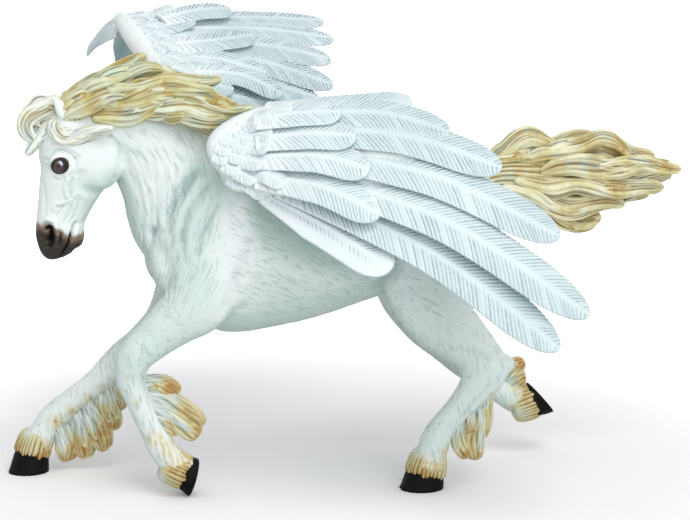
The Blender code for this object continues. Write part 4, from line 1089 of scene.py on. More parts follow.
def add_hoof(pile, top, top_out, top_length, top_width, sole, sole_out, sole_length, sole_width):
    """A hoof with faint growth rings, a rough wall and a worn edge."""
    angle = angles(72)
    shares = np.concatenate([[0.0, 0.02], np.linspace(0.06, 0.94, 23), [0.975, 0.995, 1.0]])
    rings = []
    for share in shares:
        centre = np.array(top) + (np.array(sole) - np.array(top)) * share
        out = unit(np.array(top_out) * (1 - share) + np.array(sole_out) * share)
        growth = 0.012 * (0.5 + 0.5 * math.cos(share * 2 * math.pi * 5))
        wear = 1 - growth - 0.10 * max(share - 0.97, 0) / 0.03
        tuck = 0.9 + 0.1 * min(share / 0.04, 1.0)
        length = (top_length + (sole_length - top_length) * share) * wear * tuck
        width = (top_width + (sole_width - top_width) * share) * wear * tuck
        depth, side = crossways(out, ACROSS_HORSE)
        rough = 1 + 0.006 * np.sin(17 * angle + 9 * share) + 0.005 * np.sin(29 * angle)
        # The heel is a little split
        cleft = 1 - 0.07 * np.exp(-((angle - np.pi) / 0.16) ** 2) * share
        along = depth * (length * np.cos(angle) * rough * cleft)[:, None]
        rings.append(centre + along + side * (width * np.sin(angle) * rough)[:, None])
    rings = np.array(rings)
    rings[..., 2] = np.maximum(rings[..., 2], 0.0)
    pile.add(rings)


def add_fringe(pile, hoof, seed):
    """The short hair that falls over the top of a hoof: a combed skirt with a ragged lower edge."""
    rng = np.random.default_rng(seed)
    top, top_out, top_length, top_width = hoof[:4]
    out = unit(np.array(top_out))
    depth, side = crossways(out, ACROSS_HORSE)
    angle = angles(144)
    turns = rng.uniform(0, 2 * np.pi, 4)
    drift = 1.2 * np.sin(2 * angle + turns[0]) + 0.8 * np.sin(5 * angle + turns[1])
    # How far down the hair falls at each place round the hoof
    fall = 0.6 + 0.3 * np.sin(7 * angle + turns[2]) + 0.25 * np.sin(12 * angle + turns[3])
    shares = np.array([0.0, 0.12, 0.25, 0.38, 0.5, 0.62, 0.74, 0.85, 0.94, 1.0, 1.0, 0.9])
    reach = np.array([0.8, 0.92, 1.0, 1.05, 1.08, 1.1, 1.12, 1.12, 1.11, 1.07, 1.0, 0.9])
    rings = []
    grooves = []
    for share, size in zip(shares, reach):
        comb = 0.5 + 0.5 * np.cos(27 * angle + 1.6 * drift + 1.6 * share)
        groove = np.clip(1 - comb / 0.42, 0, 1) * min(share * 3, 1.0)
        down = -FRINGE_RISE + share * (FRINGE_RISE + fall - 0.45 * groove * share)
        around = depth * (top_length * np.cos(angle))[:, None] + side * (top_width * np.sin(angle))[:, None]
        ring = np.array(top) + out * down[:, None] + around * (size * (1 - 0.06 * groove))[:, None]
        ring[:, 2] = np.maximum(ring[:, 2], 0.5)
        rings.append(ring)
        grooves.append(groove)
    pile.add(np.array(rings), groove=np.array(grooves), tip=0.35 + 0.5 * shares[:, None],
             tint=1.0 + 0.15 * np.sin(3 * angle + turns[1]))


def add_petals(pile, tufts, seed):
    """Leg feathering: broad flat petals, each with three shorter and paler ones over its root."""
    rng = np.random.default_rng(seed)
    for i, (points, half_width) in enumerate(tufts):
        add_lock(pile, points, half_width * 1.04, seed + 10 * i, ridges=13, sides=44, rows=34, flat=0.4,
                 depth=0.24, wave=0.16, twist=0.25, shape="petal", tint=1.0)
        for k in (-1, 0, 1):
            add_lock(pile, points, half_width * rng.uniform(0.36, 0.5), seed + 10 * i + k + 4,
                     ridges=6, sides=22, rows=24, flat=0.62, depth=0.26, wave=0.35, twist=0.4, shape="petal",
                     tint=rng.uniform(0.25, 0.75), end=rng.uniform(0.45, 0.8),
                     offset=(half_width * (0.55 * k + rng.uniform(-0.15, 0.15)),
                             half_width * rng.choice((-0.42, 0.42))))


def add_eye(pile, centre, outward, side):
    """The eyeball's front: a low dome that knows how far from its middle it is and where its painted
    highlight lies.
    """
    outward = unit(np.array(outward, float))
    right = unit(np.cross(np.array([0.0, 0.0, 1.0]), outward)) * side
    up = unit(np.cross(outward, right)) * side
    up = up if up[2] > 0 else -up
    turns = np.linspace(0.02, 1.75, 26)
    angle = angles(48)
    spread = np.sin(turns)[:, None]
    rings = np.array(centre) + outward * (EYE_RADII[0] * np.cos(turns))[:, None, None]
    rings = rings + right * (EYE_RADII[1] * spread * np.cos(angle))[..., None]
    rings = rings + up * (EYE_RADII[2] * spread * np.sin(angle))[..., None]
    ray = np.where(turns > np.pi / 2, 1.0, np.sin(turns))[:, None]
    # The painted highlight: a crescent of reflected light painted at the upper front of the eye
    glint = ramp(0.30, 0.40, ray) * (1 - ramp(0.60, 0.70, ray))
    glint = glint * ramp(0.1, 0.5, angle)[None, :] * (1 - ramp(1.5, 1.9, angle))[None, :]
    pile.add(rings, ray=ray, glint=glint)


class Paint:
    """A material being put together from nodes."""

    def __init__(self, name, roughness, specular=0.5, coat=0.0):
        self.material = bpy.data.materials.new(name)
        self.material.use_nodes = True
        self.tree = self.material.node_tree
        self.surface = self.tree.nodes["Principled BSDF"]
        self.surface.inputs["Roughness"].default_value = roughness
        self.surface.inputs["Specular IOR Level"].default_value = specular
        self.surface.inputs["Coat Weight"].default_value = coat
        self.surface.inputs["Coat Roughness"].default_value = 0.08

    def node(self, kind, **settings):
        made = self.tree.nodes.new(kind)
        for key, value in settings.items():
            setattr(made, key, value)
        return made

    def feed(self, socket, value):
        if isinstance(value, (int, float, tuple)):
            socket.default_value = value
        else:
            self.tree.links.new(value, socket)

    def number(self, name):
        return self.node("ShaderNodeAttribute", attribute_name=name).outputs["Fac"]

    def math(self, operation, first, second=0.0, clamp=False):
        made = self.node("ShaderNodeMath", operation=operation, use_clamp=clamp)
        self.feed(made.inputs[0], first)
        self.feed(made.inputs[1], second)
        return made.outputs[0]

    def times(self, first, second, clamp=False):
        return self.math("MULTIPLY", first, second, clamp)

    def plus(self, first, second):
        return self.math("ADD", first, second)

    def nudged(self, value, noise, amount):
        """The value made uneven by noise, which pushes it up or down."""
        return self.plus(value, self.times(self.math("SUBTRACT", noise, 0.5), amount))

    def range(self, value, low, high, to_low=0.0, to_high=1.0):
        made = self.node("ShaderNodeMapRange", interpolation_type="SMOOTHSTEP")
        for socket, item in zip(made.inputs, (value, low, high, to_low, to_high)):
            self.feed(socket, item)
        return made.outputs[0]

    def noise(self, scale, detail=4.0, stretch=None, turn=(0.0, 0.0, 0.0), roughness=0.55):
        """Noise whose scale is in ripples per metre, stretched along the turned axes."""
        made = self.node("ShaderNodeTexNoise")
        made.inputs["Scale"].default_value = scale
        made.inputs["Detail"].default_value = detail
        made.inputs["Roughness"].default_value = roughness
        coordinates = self.node("ShaderNodeTexCoord").outputs["Object"]
        if stretch:
            mapping = self.node("ShaderNodeMapping", vector_type="TEXTURE")
            self.tree.links.new(coordinates, mapping.inputs["Vector"])
            mapping.inputs["Rotation"].default_value = turn
            mapping.inputs["Scale"].default_value = stretch
            coordinates = mapping.outputs["Vector"]
        self.tree.links.new(coordinates, made.inputs["Vector"])
        return made.outputs["Fac"]

    def between(self, share, first, second):
        """A number between two others."""
        made = self.node("ShaderNodeMix", data_type="FLOAT")
        self.feed(made.inputs[0], share)
        self.feed(made.inputs[2], first)
        self.feed(made.inputs[3], second)
        return made.outputs[0]

    def mix(self, share, first, second):
        """A colour between two others."""
        made = self.node("ShaderNodeMix", data_type="RGBA")
        self.feed(made.inputs["Factor"], share)
        self.feed(made.inputs["A"], first)
        self.feed(made.inputs["B"], second)
        return made.outputs["Result"]

    def colour(self, value):
        self.tree.links.new(value, self.surface.inputs["Base Color"])

    def relief(self, height, depth, strength=1.0):
        """Fine relief too small for the mesh, its depth in millimetres."""
        made = self.node("ShaderNodeBump")
        made.inputs["Distance"].default_value = depth * MM
        made.inputs["Strength"].default_value = strength
        self.tree.links.new(height, made.inputs["Height"])
        self.tree.links.new(made.outputs["Normal"], self.surface.inputs["Normal"])


WHITE_PAINT = srgb(238, 243, 243)
TEAL_WASH = srgb(140, 166, 164)
PALE_WASH = srgb(212, 225, 222)
# Painted shade: the teal that darkens the skin where less light falls
PAINTED_SHADE_TEAL = srgb(176, 200, 192)
PALE_OCHRE = srgb(208, 190, 124)
DEEP_OCHRE = srgb(176, 132, 60)
MUZZLE_BROWN = srgb(132, 112, 92)
MUZZLE_DARK = srgb(46, 41, 36)
NOSTRIL_BLACK = srgb(14, 12, 12)
# Feather whites: the vane, its duller patches, the root end, and the under face, darker as painted shade
FEATHER_WHITES = (srgb(219, 231, 232), srgb(197, 214, 216), srgb(236, 243, 245), srgb(160, 190, 192))
NEAR_FEATHER_WASH = srgb(134, 160, 166)
FAR_FEATHER_WASH = srgb(104, 130, 146)
# Hair: light, warm, deep warm and cool colours, and how far the paint leans to the warm ones
MANE_COLOURS = (srgb(220, 226, 202), srgb(204, 197, 140), srgb(190, 154, 76), srgb(96, 114, 104), 0.06)
TAIL_COLOURS = (srgb(230, 228, 196), srgb(208, 196, 140), srgb(170, 132, 68), srgb(112, 122, 116), 0.06)
FORELOCK_COLOURS = (srgb(236, 240, 232), srgb(228, 222, 178), srgb(206, 182, 110), srgb(130, 150, 146), -0.03)
DEEP_HAIR_BROWN = srgb(70, 50, 22)


def neck_streaks(paint):
    """Streaks that run along the hair of neck and shoulder, from one flow line to the next."""
    heights = paint.node("ShaderNodeSeparateXYZ")
    paint.tree.links.new(paint.node("ShaderNodeTexCoord").outputs["Object"], heights.inputs[0])
    place = paint.node("ShaderNodeCombineXYZ")
    paint.feed(place.inputs[0], paint.number("lane"))
    paint.feed(place.inputs[1], paint.times(heights.outputs[2], 170.0))
    paint.feed(place.inputs[2], paint.times(heights.outputs[1], 60.0))
    streaks = paint.node("ShaderNodeTexNoise")
    streaks.inputs["Scale"].default_value = 1.15
    streaks.inputs["Detail"].default_value = 4.0
    paint.tree.links.new(place.outputs[0], streaks.inputs["Vector"])
    return streaks.outputs["Fac"]


def skin_paint():
    """White with teal-washed grooves, streaks along the hair, painted shade, ochre patches and a dark muzzle.
    """
    paint = Paint("painted_skin", 0.55, 0.3)
    hollow = paint.number("hollow")
    patches = paint.noise(28, 3)
    streak_trunk = paint.noise(1, 3, (0.0042, 0.0011, 0.0008), (0.0, math.radians(27), 0.0))
    streak_leg = paint.noise(1, 3, (0.0009, 0.0009, 0.005), (0.0, math.radians(-12), 0.0))
    streak = paint.between(paint.number("leg"), streak_trunk, streak_leg)
    streak = paint.between(paint.number("neck"), streak, neck_streaks(paint))
    soft = paint.math("SUBTRACT", 1.0, paint.times(paint.number("head"), 0.85))
    lines = paint.times(paint.range(streak, 0.54, 0.70), soft)
    colour = paint.mix(paint.range(patches, 0.3, 0.75, 0.0, 0.6), WHITE_PAINT, PALE_WASH)
    colour = paint.mix(paint.times(lines, 0.34), colour, TEAL_WASH)
    # Painted shade: the shade mask darkens the skin towards this teal
    colour = paint.mix(paint.times(paint.number("shade"), 0.85), colour, PAINTED_SHADE_TEAL)
    colour = paint.mix(paint.range(hollow, 0.08, 1.0, 0.0, 0.72), colour, TEAL_WASH)
    spots = paint.noise(420, 4)
    ochre = paint.mix(paint.range(spots, 0.48, 0.68), PALE_OCHRE, DEEP_OCHRE)
    ochre_share = paint.times(paint.number("ochre"), paint.range(streak_leg, 0.36, 0.6, 0.25, 1.0), True)
    colour = paint.mix(ochre_share, colour, ochre)
    dark = paint.number("dark")
    colour = paint.mix(paint.range(paint.nudged(dark, spots, 0.7), 0.1, 0.5), colour, MUZZLE_BROWN)
    mottle = paint.nudged(dark, paint.noise(1100, 3), 0.8)
    colour = paint.mix(paint.range(mottle, 0.48, 1.02), colour, MUZZLE_DARK)
    pit = paint.times(dark, hollow)
    colour = paint.mix(paint.range(pit, 0.1, 0.36), colour, NOSTRIL_BLACK)
    paint.colour(colour)
    height = paint.plus(paint.math("SUBTRACT", 1.0, lines), paint.times(paint.noise(2300, 2), 0.16))
    paint.relief(height, 0.22, 0.75)
    return paint.material


def feather_paint(name, wash):
    """White feathers with a wash in the grooves between their barbs, and painted shade on their under faces.
    """
    vane, patch, root_end, under = FEATHER_WHITES
    paint = Paint(name, 0.55, 0.3)
    patches = paint.noise(30, 3)
    fine = paint.noise(900, 3)
    colour = paint.mix(paint.range(patches, 0.35, 0.75, 0.0, 0.7), vane, patch)
    colour = paint.mix(paint.number("pale"), colour, root_end)
    # Painted shade: the under faces are darker
    colour = paint.mix(paint.times(paint.number("under"), 0.6), colour, under)
    uneven = paint.times(paint.number("groove"), paint.range(fine, 0.3, 0.6, 0.6, 1.0), True)
    paint.colour(paint.mix(uneven, colour, wash))
    paint.relief(paint.noise(2600, 2), 0.06, 0.5)
    return paint.material


def hair_paint(name, light, warm, dark_warm, cool, warmth):
    """Hair that runs from light to warm along its locks and is cool or brown in its grooves."""
    paint = Paint(name, 0.5, 0.4)
    patches = paint.noise(120, 3)
    streaks = paint.noise(520, 3)
    amount = paint.plus(paint.times(patches, 0.6), paint.times(paint.number("tint"), 0.5))
    amount = paint.plus(amount, paint.times(paint.number("tip"), 0.10))
    amount = paint.plus(amount, paint.times(streaks, 0.45))
    colour = paint.mix(paint.range(amount, 0.66 - warmth, 1.06 - warmth), light, warm)
    colour = paint.mix(paint.range(amount, 1.0 - warmth, 1.24 - warmth), colour, dark_warm)
    deep_warm = paint.mix(0.45, dark_warm, DEEP_HAIR_BROWN)
    hollow_tone = paint.mix(paint.range(patches, 0.4, 0.56), cool, deep_warm)
    paint.colour(paint.mix(paint.times(paint.number("groove"), 1.25, True), colour, hollow_tone))
    paint.relief(paint.noise(2200, 2), 0.07, 0.5)
    return paint.material


def tuft_paint():
    """Leg feathering: pale at its roots, ochre towards its tips, with light rims and dark grooves."""
    paint = Paint("painted_leg_feathering", 0.5, 0.4)
    tip = paint.number("tip")
    patches = paint.noise(160, 3)
    reach = paint.times(paint.nudged(tip, patches, 0.9), paint.number("tint"))
    colour = paint.mix(paint.range(reach, 0.18, 0.5), srgb(210, 219, 214), srgb(206, 198, 150))
    veins = paint.times(reach, paint.plus(paint.noise(520, 3), 0.4))
    colour = paint.mix(paint.range(veins, 0.42, 0.86), colour, srgb(186, 144, 78))
    rim = paint.times(paint.number("rim"), paint.range(tip, 0.35, 0.6))
    end = paint.times(paint.range(tip, 0.86, 0.97), paint.range(patches, 0.35, 0.6))
    rim = paint.math("MAXIMUM", rim, end)
    colour = paint.mix(paint.times(rim, 0.9, True), colour, srgb(240, 230, 190))
    hollow_tone = paint.mix(paint.range(reach, 0.3, 0.65), srgb(120, 137, 130), srgb(98, 74, 34))
    paint.colour(paint.mix(paint.times(paint.number("groove"), 0.9, True), colour, hollow_tone))
    paint.relief(paint.noise(1800, 2), 0.08, 0.5)
    return paint.material


def hoof_paint():
    paint = Paint("painted_hoof", 0.6, 0.12)
    wear = paint.noise(260, 4)
    paint.colour(paint.mix(paint.range(wear, 0.45, 0.75), srgb(8, 8, 7), srgb(17, 16, 15)))
    paint.relief(paint.noise(1500, 3), 0.12, 0.6)
    return paint.material


def eye_paint():
    paint = Paint("painted_eye", 0.12, 0.5, 0.6)
    # Pupil, iris and dark ring, whose edges are a little uneven
    rough_ray = paint.nudged(paint.number("ray"), paint.noise(900, 2), 0.10)
    colour = paint.mix(paint.range(rough_ray, 0.34, 0.40), srgb(14, 9, 9), srgb(92, 38, 32))
    colour = paint.mix(paint.range(rough_ray, 0.58, 0.70), colour, srgb(12, 8, 8))
    # A painted highlight: a pale blue crescent in place of reflected light
    colour = paint.mix(paint.number("glint"), colour, srgb(176, 186, 226))
    paint.colour(colour)
    return paint.material


def flow_lanes(places, lines, spacing):
    """A number that stays the same along the hair between the flow lines, and grows across it."""
    apart = np.stack([line_distance(places, spline(line, np.linspace(0, 1, 24))) for line in lines])
    nearest = np.argmin(apart, 0)
    columns = np.arange(len(places))
    before = np.clip(nearest - 1, 0, None)
    after = np.clip(nearest + 1, None, len(lines) - 1)
    left = np.where(nearest == 0, 1e9, apart[before, columns])
    right = np.where(nearest == len(lines) - 1, 1e9, apart[after, columns])
    towards_left = left < right
    other = np.where(towards_left, left, right)
    own = apart[nearest, columns]
    share = own / np.maximum(own + other, 1e-6)
    return spacing * (nearest + np.where(towards_left, -share, share))


def smooth_clay(data):
    clay = Clay(data)
    clay.points = relaxed(clay.points, clay.edges, SMOOTHING_PASSES)
    clay.settle()
    return clay


def fuse_body():
    """Trunk, neck, head, legs, rounded masses and ears as one skin, finer over the face."""
    pile = Pile()
    for stations in (TRUNK, NECK, HEAD, NEAR_FORE_LEG, FAR_FORE_LEG, NEAR_HIND_LEG, FAR_HIND_LEG):
        add_loft(pile, stations)
    for x, middle, aside, z, half_axes, turn in PAIRED_MASSES:
        for y in (middle - aside, middle + aside):
            add_mass(pile, (x, y, z), half_axes, turn)
    add_mass(pile, *HOCK_MASS)
    for base, tip, half_width in EARS:
        add_ear(pile, base, tip, half_width)
    data = fused_skin(pile, BODY_VOXEL)
    keep_outside(data)
    refine(data, lambda p: p.x < FACE_BACK and CHIN_HEIGHT < p.z < POLL_HEIGHT)
    return data


def carve_body(clay, rng):
    """The folds of body and legs, the long grooves of the neck, and the face."""
    for line, radius, depth in BODY_LINES:
        for side in (-1, 1):
            if side == 1 and min(z for _, z in line) < NEAR_FOLD_TOP:
                continue
            clay.carve(line, radius * 1.1, depth * 0.85, side, fade=True, wash=0.35)
    clay.settle()
    for first, second, count in NECK_FANS:
        for k in range(count):
            share = (k + rng.uniform(0.2, 0.8)) / count
            line = [tuple(np.array(a) * (1 - share) + np.array(b) * share + rng.normal(0, 0.35, 2))
                    for a, b in zip(first, second)]
            skipped = rng.integers(0, 2)
            for side in (-1, 1):
                clay.carve(line[skipped:], 0.72, rng.uniform(0.12, 0.3), side, fade=True)
    for line, radius, depth in (*HEAD_LINES, (EYE_RING, 0.5, -0.18)):
        for side in (-1, 1):
            clay.carve(line, radius, depth, side)
    clay.settle()


def hair_heading(place):
    """Which way the hair lies at a place on the skin."""
    x, y, z = place
    if z < 40.0 and x < -45.0:
        return np.array([0.3 if y < 2.0 else -0.5, 0.0, -0.9])
    if z < 66.0 and x < -36.0:
        return np.array([-0.6, 0.0, -0.8])
    if z < 44.0 and x > 14.0:
        return np.array([-0.3, 0.0, -0.95])
    if x < -66.0 and z > 69.0:
        return np.array([0.1, 0.0, -1.0])
    if x < -44.0 and z > 78.0:
        return np.array([0.3, 0.0, -0.95])
    if x > 12.0:
        return np.array([0.62, 0.0, -0.78])
    return np.array([0.86, 0.0, -0.5])


def darkness(points):
    """The dark muzzle, and the rims of the eyes."""
    x, z = points[:, 0], points[:, 2]
    edge_x, edge_z = np.array(MUZZLE_EDGE).T
    dark = ramp(2.8, -3.6, z - np.interp(x, edge_x, edge_z)) * (x < -70.0) * (z < 90.0) * (z > 60.0)
    for centre, _outward, _side in EYES:
        apart = points - np.array(centre)
        along = 0.8 * apart[:, 0] + 0.6 * apart[:, 2]
        aside = 0.6 * apart[:, 0] - 0.8 * apart[:, 2]
        away = np.sqrt((0.94 * along) ** 2 + (1.04 * aside) ** 2 + (0.5 * apart[:, 1]) ** 2)
        dark = np.maximum(dark, ramp(2.62, 2.2, away) * 1.7)
    return dark


def shading(points, normals):
    """Painted shade: darker paint on rump, fore leg, shoulder, belly, far side, throat, under the wing and
    below.
    """
    x, z = points[:, 0], points[:, 2]
    shoulder, under_wing, throat = (
        line_distance(points[:, [0, 2]], np.array(line))
        for line in (SHOULDER_SHADE, UNDER_WING_SHADE, THROAT_SHADE)
    )
    return np.maximum.reduce((
        ramp(4.0, 26.0, x) * ramp(96.0, 84.0, z) * 0.4,
        ramp(-38.0, -44.0, x) * ramp(68.0, 58.0, z) * ramp(30.0, 40.0, z) * 0.5,
        ramp(11.0, 2.0, shoulder) * 0.6,
        ramp(60.0, 47.0, z) * ramp(-36.0, -24.0, x) * ramp(12.0, 6.0, x) * 0.85,
        ramp(-0.1, 0.5, normals[:, 1]) * 0.35,
        ramp(13.0, 3.0, under_wing) * ramp(-34.0, -28.0, x) * 0.95,
        ramp(6.5, 1.0, throat) * 0.7,
        ramp(0.0, -0.75, normals[:, 2]) * ramp(4.0, 20.0, z) * 0.7,
    ))


def ochre_patches(points):
    """Ochre above each hoof and on the spots of the legs."""
    ochre = np.zeros(len(points))
    for top, top_out, *_rest in HOOVES:
        up = (points - np.array(top)) @ -unit(np.array(top_out))
        away = np.linalg.norm(points - np.array(top), axis=1)
        ochre = np.maximum(ochre, ramp(7.5, 1.0, up) * ramp(13.0, 9.0, away) * 0.75)
    for centre, size, weight in OCHRE_SPOTS:
        away = np.linalg.norm((points - np.array(centre)) * np.array([1.0, 0.6, 1.0]), axis=1)
        ochre = np.maximum(ochre, ramp(size, 0.0, away) * weight)
    return np.clip(ochre * 1.3, 0, 1)


def build_body():
    """The body's skin, carved and marked for its paint."""
    data = fuse_body()
    clay = smooth_clay(data)
    rng = np.random.default_rng(11)
    carve_body(clay, rng)
    for count, region, length, radius, depth in STROKES:
        clay.hatch(rng, count, region, length, radius, depth)
    clay.points[:, 2] = np.maximum(clay.points[:, 2], 0.0)
    clay.settle()
    points = clay.points
    x, _y, z = points.T
    put_numbers(data, "hollow", np.clip(clay.hollows(0.16, 1.5) + clay.wash * 0.7, 0, 1))
    put_numbers(data, "dark", darkness(points))
    put_numbers(data, "head", ramp(-62.0, -68.0, x) * ramp(66.0, 72.0, z))
    put_numbers(data, "neck", ramp(-34.0, -41.0, x) * ramp(50.0, 58.0, z))
    put_numbers(data, "lane", flow_lanes(points[:, [0, 2]], NECK_FLOW, 9.0))
    put_numbers(data, "leg", ramp(54.0, 46.0, z))
    put_numbers(data, "shade", shading(points, clay.normals))
    put_numbers(data, "ochre", ochre_patches(points))
    return data


def build_arm(lofts):
    """The smooth arm of a wing, under its feathers."""
    pile = Pile()
    for stations, across in lofts:
        add_loft(pile, stations, across, 28, 8)
    data = fused_skin(pile, ARM_VOXEL)
    keep_outside(data)
    clay = smooth_clay(data)
    put_numbers(data, "hollow", np.clip(clay.hollows(0.16, 0.7), 0, 1) * 0.7)
    for kind in ("dark", "ochre", "shade", "leg", "neck", "lane"):
        put_numbers(data, kind, np.zeros(len(clay.points)))
    put_numbers(data, "head", np.ones(len(clay.points)))
    return data


def place_pile(name, pile, material):
    return place_piece(name, pile.mesh(name), material)


FEATHER_NUMBERS = ("groove", "under", "pale")
HAIR_NUMBERS = ("groove", "tip", "rim", "tint")
SMALL_FEATHER_LOOK = dict(depth=0.14, thickness=0.8, shaft=0.12, edge_sag=0.4, root_width=0.8, stain=0.6)

skin = skin_paint()
near_feather = feather_paint("painted_near_feathers", NEAR_FEATHER_WASH)
far_feather = feather_paint("painted_far_feathers", FAR_FEATHER_WASH)

body = place_piece("body_skin", build_body(), skin)
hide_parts("pegasus_figurine")

near_arm = place_piece("near_wing_arm", build_arm((
    (NEAR_ARM, (0.1, -0.9, 0.4)),
    (NEAR_PAD, (0.0, -0.9, 0.35)),
    (NEAR_HUMERUS, (0.0, 0.0, 1.0)),
)), skin)
far_arm = place_piece("far_wing_arm", build_arm(((FAR_ARM, ACROSS_HORSE),)), skin)

# The lowest long feather of the near wing has a narrow root and is smooth on the side of the belly
pile = Pile(*FEATHER_NUMBERS)
add_fan(pile, NEAR_LONG_FEATHERS[:1], NEAR_FACINGS, 100, plain=(0,), bare=(0,), widen=1.16, white=0.6,
        root_width=0.45)
add_fan(pile, NEAR_LONG_FEATHERS[1:], NEAR_FACINGS[1:], 101, plain=(5,), widen=1.08)
near_long = place_pile("near_wing_long_feathers", pile, near_feather)

pile = Pile(*FEATHER_NUMBERS)
add_fan(pile, NEAR_COVERTS, NEAR_FACINGS, 200, out=0.8, spacing=1.35, depth=0.3, stain=0.85, white=0.25)
near_tree = tree_of(near_arm.data, near_long.data, pile.mesh("near_coverts_below"))
add_small_feathers(pile, NEAR_SMALL_FEATHERS, near_tree, (-0.2, -0.88, 0.42), lambda z: -28.0, 300,
                   spacing=1.1, white=0.55, **SMALL_FEATHER_LOOK)
place_pile("near_wing_coverts", pile, near_feather)

pile = Pile(*FEATHER_NUMBERS)
add_fan(pile, FAR_LONG_FEATHERS, FAR_FACINGS, 400)
far_long = place_pile("far_wing_long_feathers", pile, far_feather)

pile = Pile(*FEATHER_NUMBERS)
add_loft(pile, FAR_PAD, (0.1, -0.66, 0.75), 40, 8)
add_fan(pile, FAR_COVERTS, FAR_FACINGS[:5], 500, out=0.7, spacing=1.35, depth=0.3)
add_fan(pile, FAR_SHORT_COVERTS, FAR_FACINGS[:5], 550, out=1.1, spacing=1.3, depth=0.26)
far_tree = tree_of(far_arm.data, far_long.data, pile.mesh("far_coverts_below"))
add_small_feathers(pile, FAR_SMALL_FEATHERS, far_tree, (-0.1, -0.78, 0.6), lambda z: 17 + 1.5 * (z - 115),
                   600, spacing=1.2, white=0.35, **SMALL_FEATHER_LOOK)
place_pile("far_wing_coverts", pile, far_feather)

pile = Pile(*HAIR_NUMBERS)
add_hair_core(pile, NECK_MANE, 700)
add_core_strands(pile, NECK_MANE, 750, 34, 1.9, 0.27)
add_hair(pile, MANE_LOCKS, 710, 3)
place_pile("mane", pile, hair_paint("painted_mane", *MANE_COLOURS))

pile = Pile(*HAIR_NUMBERS)
add_hair(pile, FORELOCKS, 1300, 3, tint=0.2, wave=0.45)
place_pile("forelock", pile, hair_paint("painted_forelock", *FORELOCK_COLOURS))

pile = Pile(*HAIR_NUMBERS)
add_hair_core(pile, TAIL_CORE, 1500)
add_core_strands(pile, TAIL_CORE, 1550, 22, 1.6, 0.5)
add_hair(pile, TAIL_LOCKS, 1510, 4, swell=1.3, wave=0.2)
place_pile("tail", pile, hair_paint("painted_tail", *TAIL_COLOURS))

pile = Pile(*HAIR_NUMBERS)
add_petals(pile, LEG_TUFTS, 2000)
for index, hoof in enumerate(HOOVES):
    add_fringe(pile, hoof, 2100 + 50 * index)
place_pile("leg_feathering", pile, tuft_paint())

pile = Pile()
for hoof in HOOVES:
    add_hoof(pile, *hoof)
place_pile("hooves", pile, hoof_paint())

pile = Pile("ray", "glint")
for centre, outward, side in EYES:
    add_eye(pile, centre, outward, side)
place_pile("eyes", pile, eye_paint())

# Half the width of the floor in metres, its colours for light and for the camera, and where its glow grows
FLOOR_REACH = 4.0
FLOOR_FOR_LIGHT = (0.72, 0.74, 0.73, 1.0)
FLOOR_FOR_CAMERA = (0.98, 0.955, 0.965, 1.0)
GLOW_START = 0.08
GLOW_END = 0.36
WHITE = (1.0, 1.0, 1.0, 1.0)
SKY_COLOUR = (0.97, 0.985, 1.0, 1.0)
SKY_STRENGTH = 0.66
# Lamps: name, place, what they point at, width, watts and colour
LAMPS = (
    ("key", (0.08, -0.7, 1.1), (0.0, 0.0, 0.08), 0.7, 4.6, (1.0, 0.99, 0.98)),
    ("fill", (0.15, -1.1, 0.35), (0.0, 0.0, 0.07), 0.8, 4.6, (0.98, 0.99, 1.0)),
)
CAMERA_PLACE = (-0.12541, -0.58305, 0.17019)
CAMERA_TARGET = (-0.00256, -0.00508, 0.066)
SENSOR_WIDTH = 36.0
FOCAL_LENGTH = 106.3


def new_node(tree, kind, **inputs):
    """Adds a node. Its inputs are given by name, with _ for a space."""
    made = tree.nodes.new(kind)
    for name, value in inputs.items():
        made.inputs[name.replace("_", " ")].default_value = value
    return made


def aimed(place, target):
    """The turn of a lamp or camera that looks from its place to its target."""
    return (Vector(target) - Vector(place)).to_track_quat("-Z", "Y")


def add_floor():
    """A white studio floor: the camera sees it near white with the figure's shadow on it."""
    data = bpy.data.meshes.new("studio_floor")
    corners = [(x * FLOOR_REACH, y * FLOOR_REACH, 0) for x, y in ((-1, -1), (1, -1), (1, 1), (-1, 1))]
    data.from_pydata(corners, [], [(0, 1, 2, 3)])
    floor = bpy.data.objects.new("studio_floor", data)
    bpy.context.scene.collection.objects.link(floor)
    material = bpy.data.materials.new("studio_floor")
    material.use_nodes = True
    tree = material.node_tree
    tree.nodes.clear()
    output = new_node(tree, "ShaderNodeOutputMaterial")
    dull = new_node(tree, "ShaderNodeBsdfDiffuse", Color=FLOOR_FOR_LIGHT)
    lit = new_node(tree, "ShaderNodeBsdfDiffuse", Color=FLOOR_FOR_CAMERA)
    glow = new_node(tree, "ShaderNodeEmission")
    both = new_node(tree, "ShaderNodeAddShader")
    # The glow grows away from the figure, so that the backdrop stays white and the shadow stays grey
    place = new_node(tree, "ShaderNodeTexCoord")
    distance = new_node(tree, "ShaderNodeVectorMath")
    distance.operation = "LENGTH"
    growth = new_node(tree, "ShaderNodeMapRange", From_Min=GLOW_START, From_Max=GLOW_END, To_Min=FLOOR_GLOW,
                      To_Max=1.0)
    growth.interpolation_type = "SMOOTHSTEP"
    path = new_node(tree, "ShaderNodeLightPath")
    blend = new_node(tree, "ShaderNodeMixShader")
    for source, socket in (
        (place.outputs["Object"], distance.inputs[0]),
        (distance.outputs["Value"], growth.inputs["Value"]),
        (growth.outputs[0], glow.inputs["Strength"]),
        (lit.outputs[0], both.inputs[0]),
        (glow.outputs[0], both.inputs[1]),
        (path.outputs["Is Camera Ray"], blend.inputs[0]),
        (dull.outputs[0], blend.inputs[1]),
        (both.outputs[0], blend.inputs[2]),
        (blend.outputs[0], output.inputs["Surface"]),
    ):
        tree.links.new(source, socket)
    data.materials.append(material)


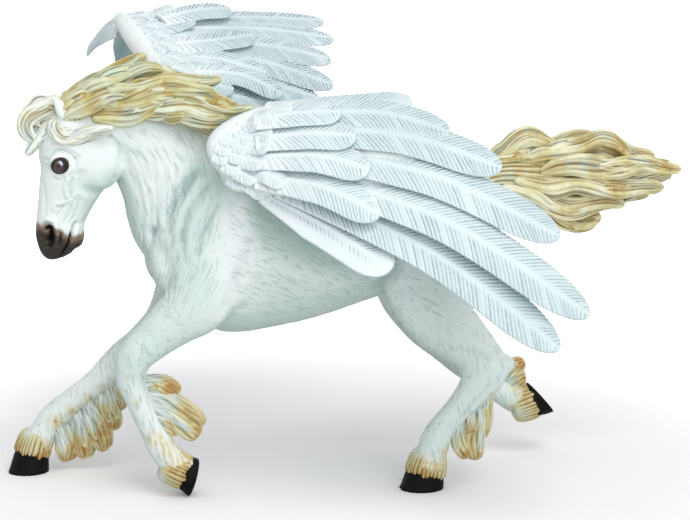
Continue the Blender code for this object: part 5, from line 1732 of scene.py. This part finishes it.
def add_lamp(name, place, target, size, watts, colour):
    data = bpy.data.lights.new(name, "AREA")
    data.shape = "DISK"
    data.size = size
    data.energy = watts
    data.color = colour
    lamp = bpy.data.objects.new(name, data)
    lamp.location = place
    lamp.rotation_mode = "QUATERNION"
    lamp.rotation_quaternion = aimed(place, target)
    bpy.context.scene.collection.objects.link(lamp)


def light_world():
    """White where the camera and reflections look, and a dimmer even light on the figure."""
    world = bpy.data.worlds.new("studio")
    bpy.context.scene.world = world
    world.use_nodes = True
    tree = world.node_tree
    tree.nodes.clear()
    output = new_node(tree, "ShaderNodeOutputWorld")
    seen = new_node(tree, "ShaderNodeBackground", Color=WHITE)
    around = new_node(tree, "ShaderNodeBackground", Color=SKY_COLOUR, Strength=SKY_STRENGTH)
    path = new_node(tree, "ShaderNodeLightPath")
    either = new_node(tree, "ShaderNodeMath")
    either.operation = "MAXIMUM"
    any_of = new_node(tree, "ShaderNodeMath")
    any_of.operation = "MAXIMUM"
    blend = new_node(tree, "ShaderNodeMixShader")
    for source, socket in (
        (path.outputs["Is Camera Ray"], either.inputs[0]),
        (path.outputs["Is Glossy Ray"], either.inputs[1]),
        (either.outputs[0], any_of.inputs[0]),
        (path.outputs["Is Transmission Ray"], any_of.inputs[1]),
        (any_of.outputs[0], blend.inputs[0]),
        (around.outputs[0], blend.inputs[1]),
        (seen.outputs[0], blend.inputs[2]),
        (blend.outputs[0], output.inputs["Surface"]),
    ):
        tree.links.new(source, socket)


def add_camera():
    """The camera that sees the figure as the photo shows it."""
    lens = bpy.data.cameras.new("camera")
    lens.sensor_width = SENSOR_WIDTH
    lens.lens = FOCAL_LENGTH
    camera = bpy.data.objects.new("camera", lens)
    camera.location = CAMERA_PLACE
    camera.rotation_mode = "QUATERNION"
    camera.rotation_quaternion = aimed(CAMERA_PLACE, CAMERA_TARGET)
    bpy.context.scene.collection.objects.link(camera)
    bpy.context.scene.camera = camera


add_floor()
light_world()
for lamp in LAMPS:
    add_lamp(*lamp)
add_camera()
bpy.context.scene.view_settings.view_transform = "Standard"
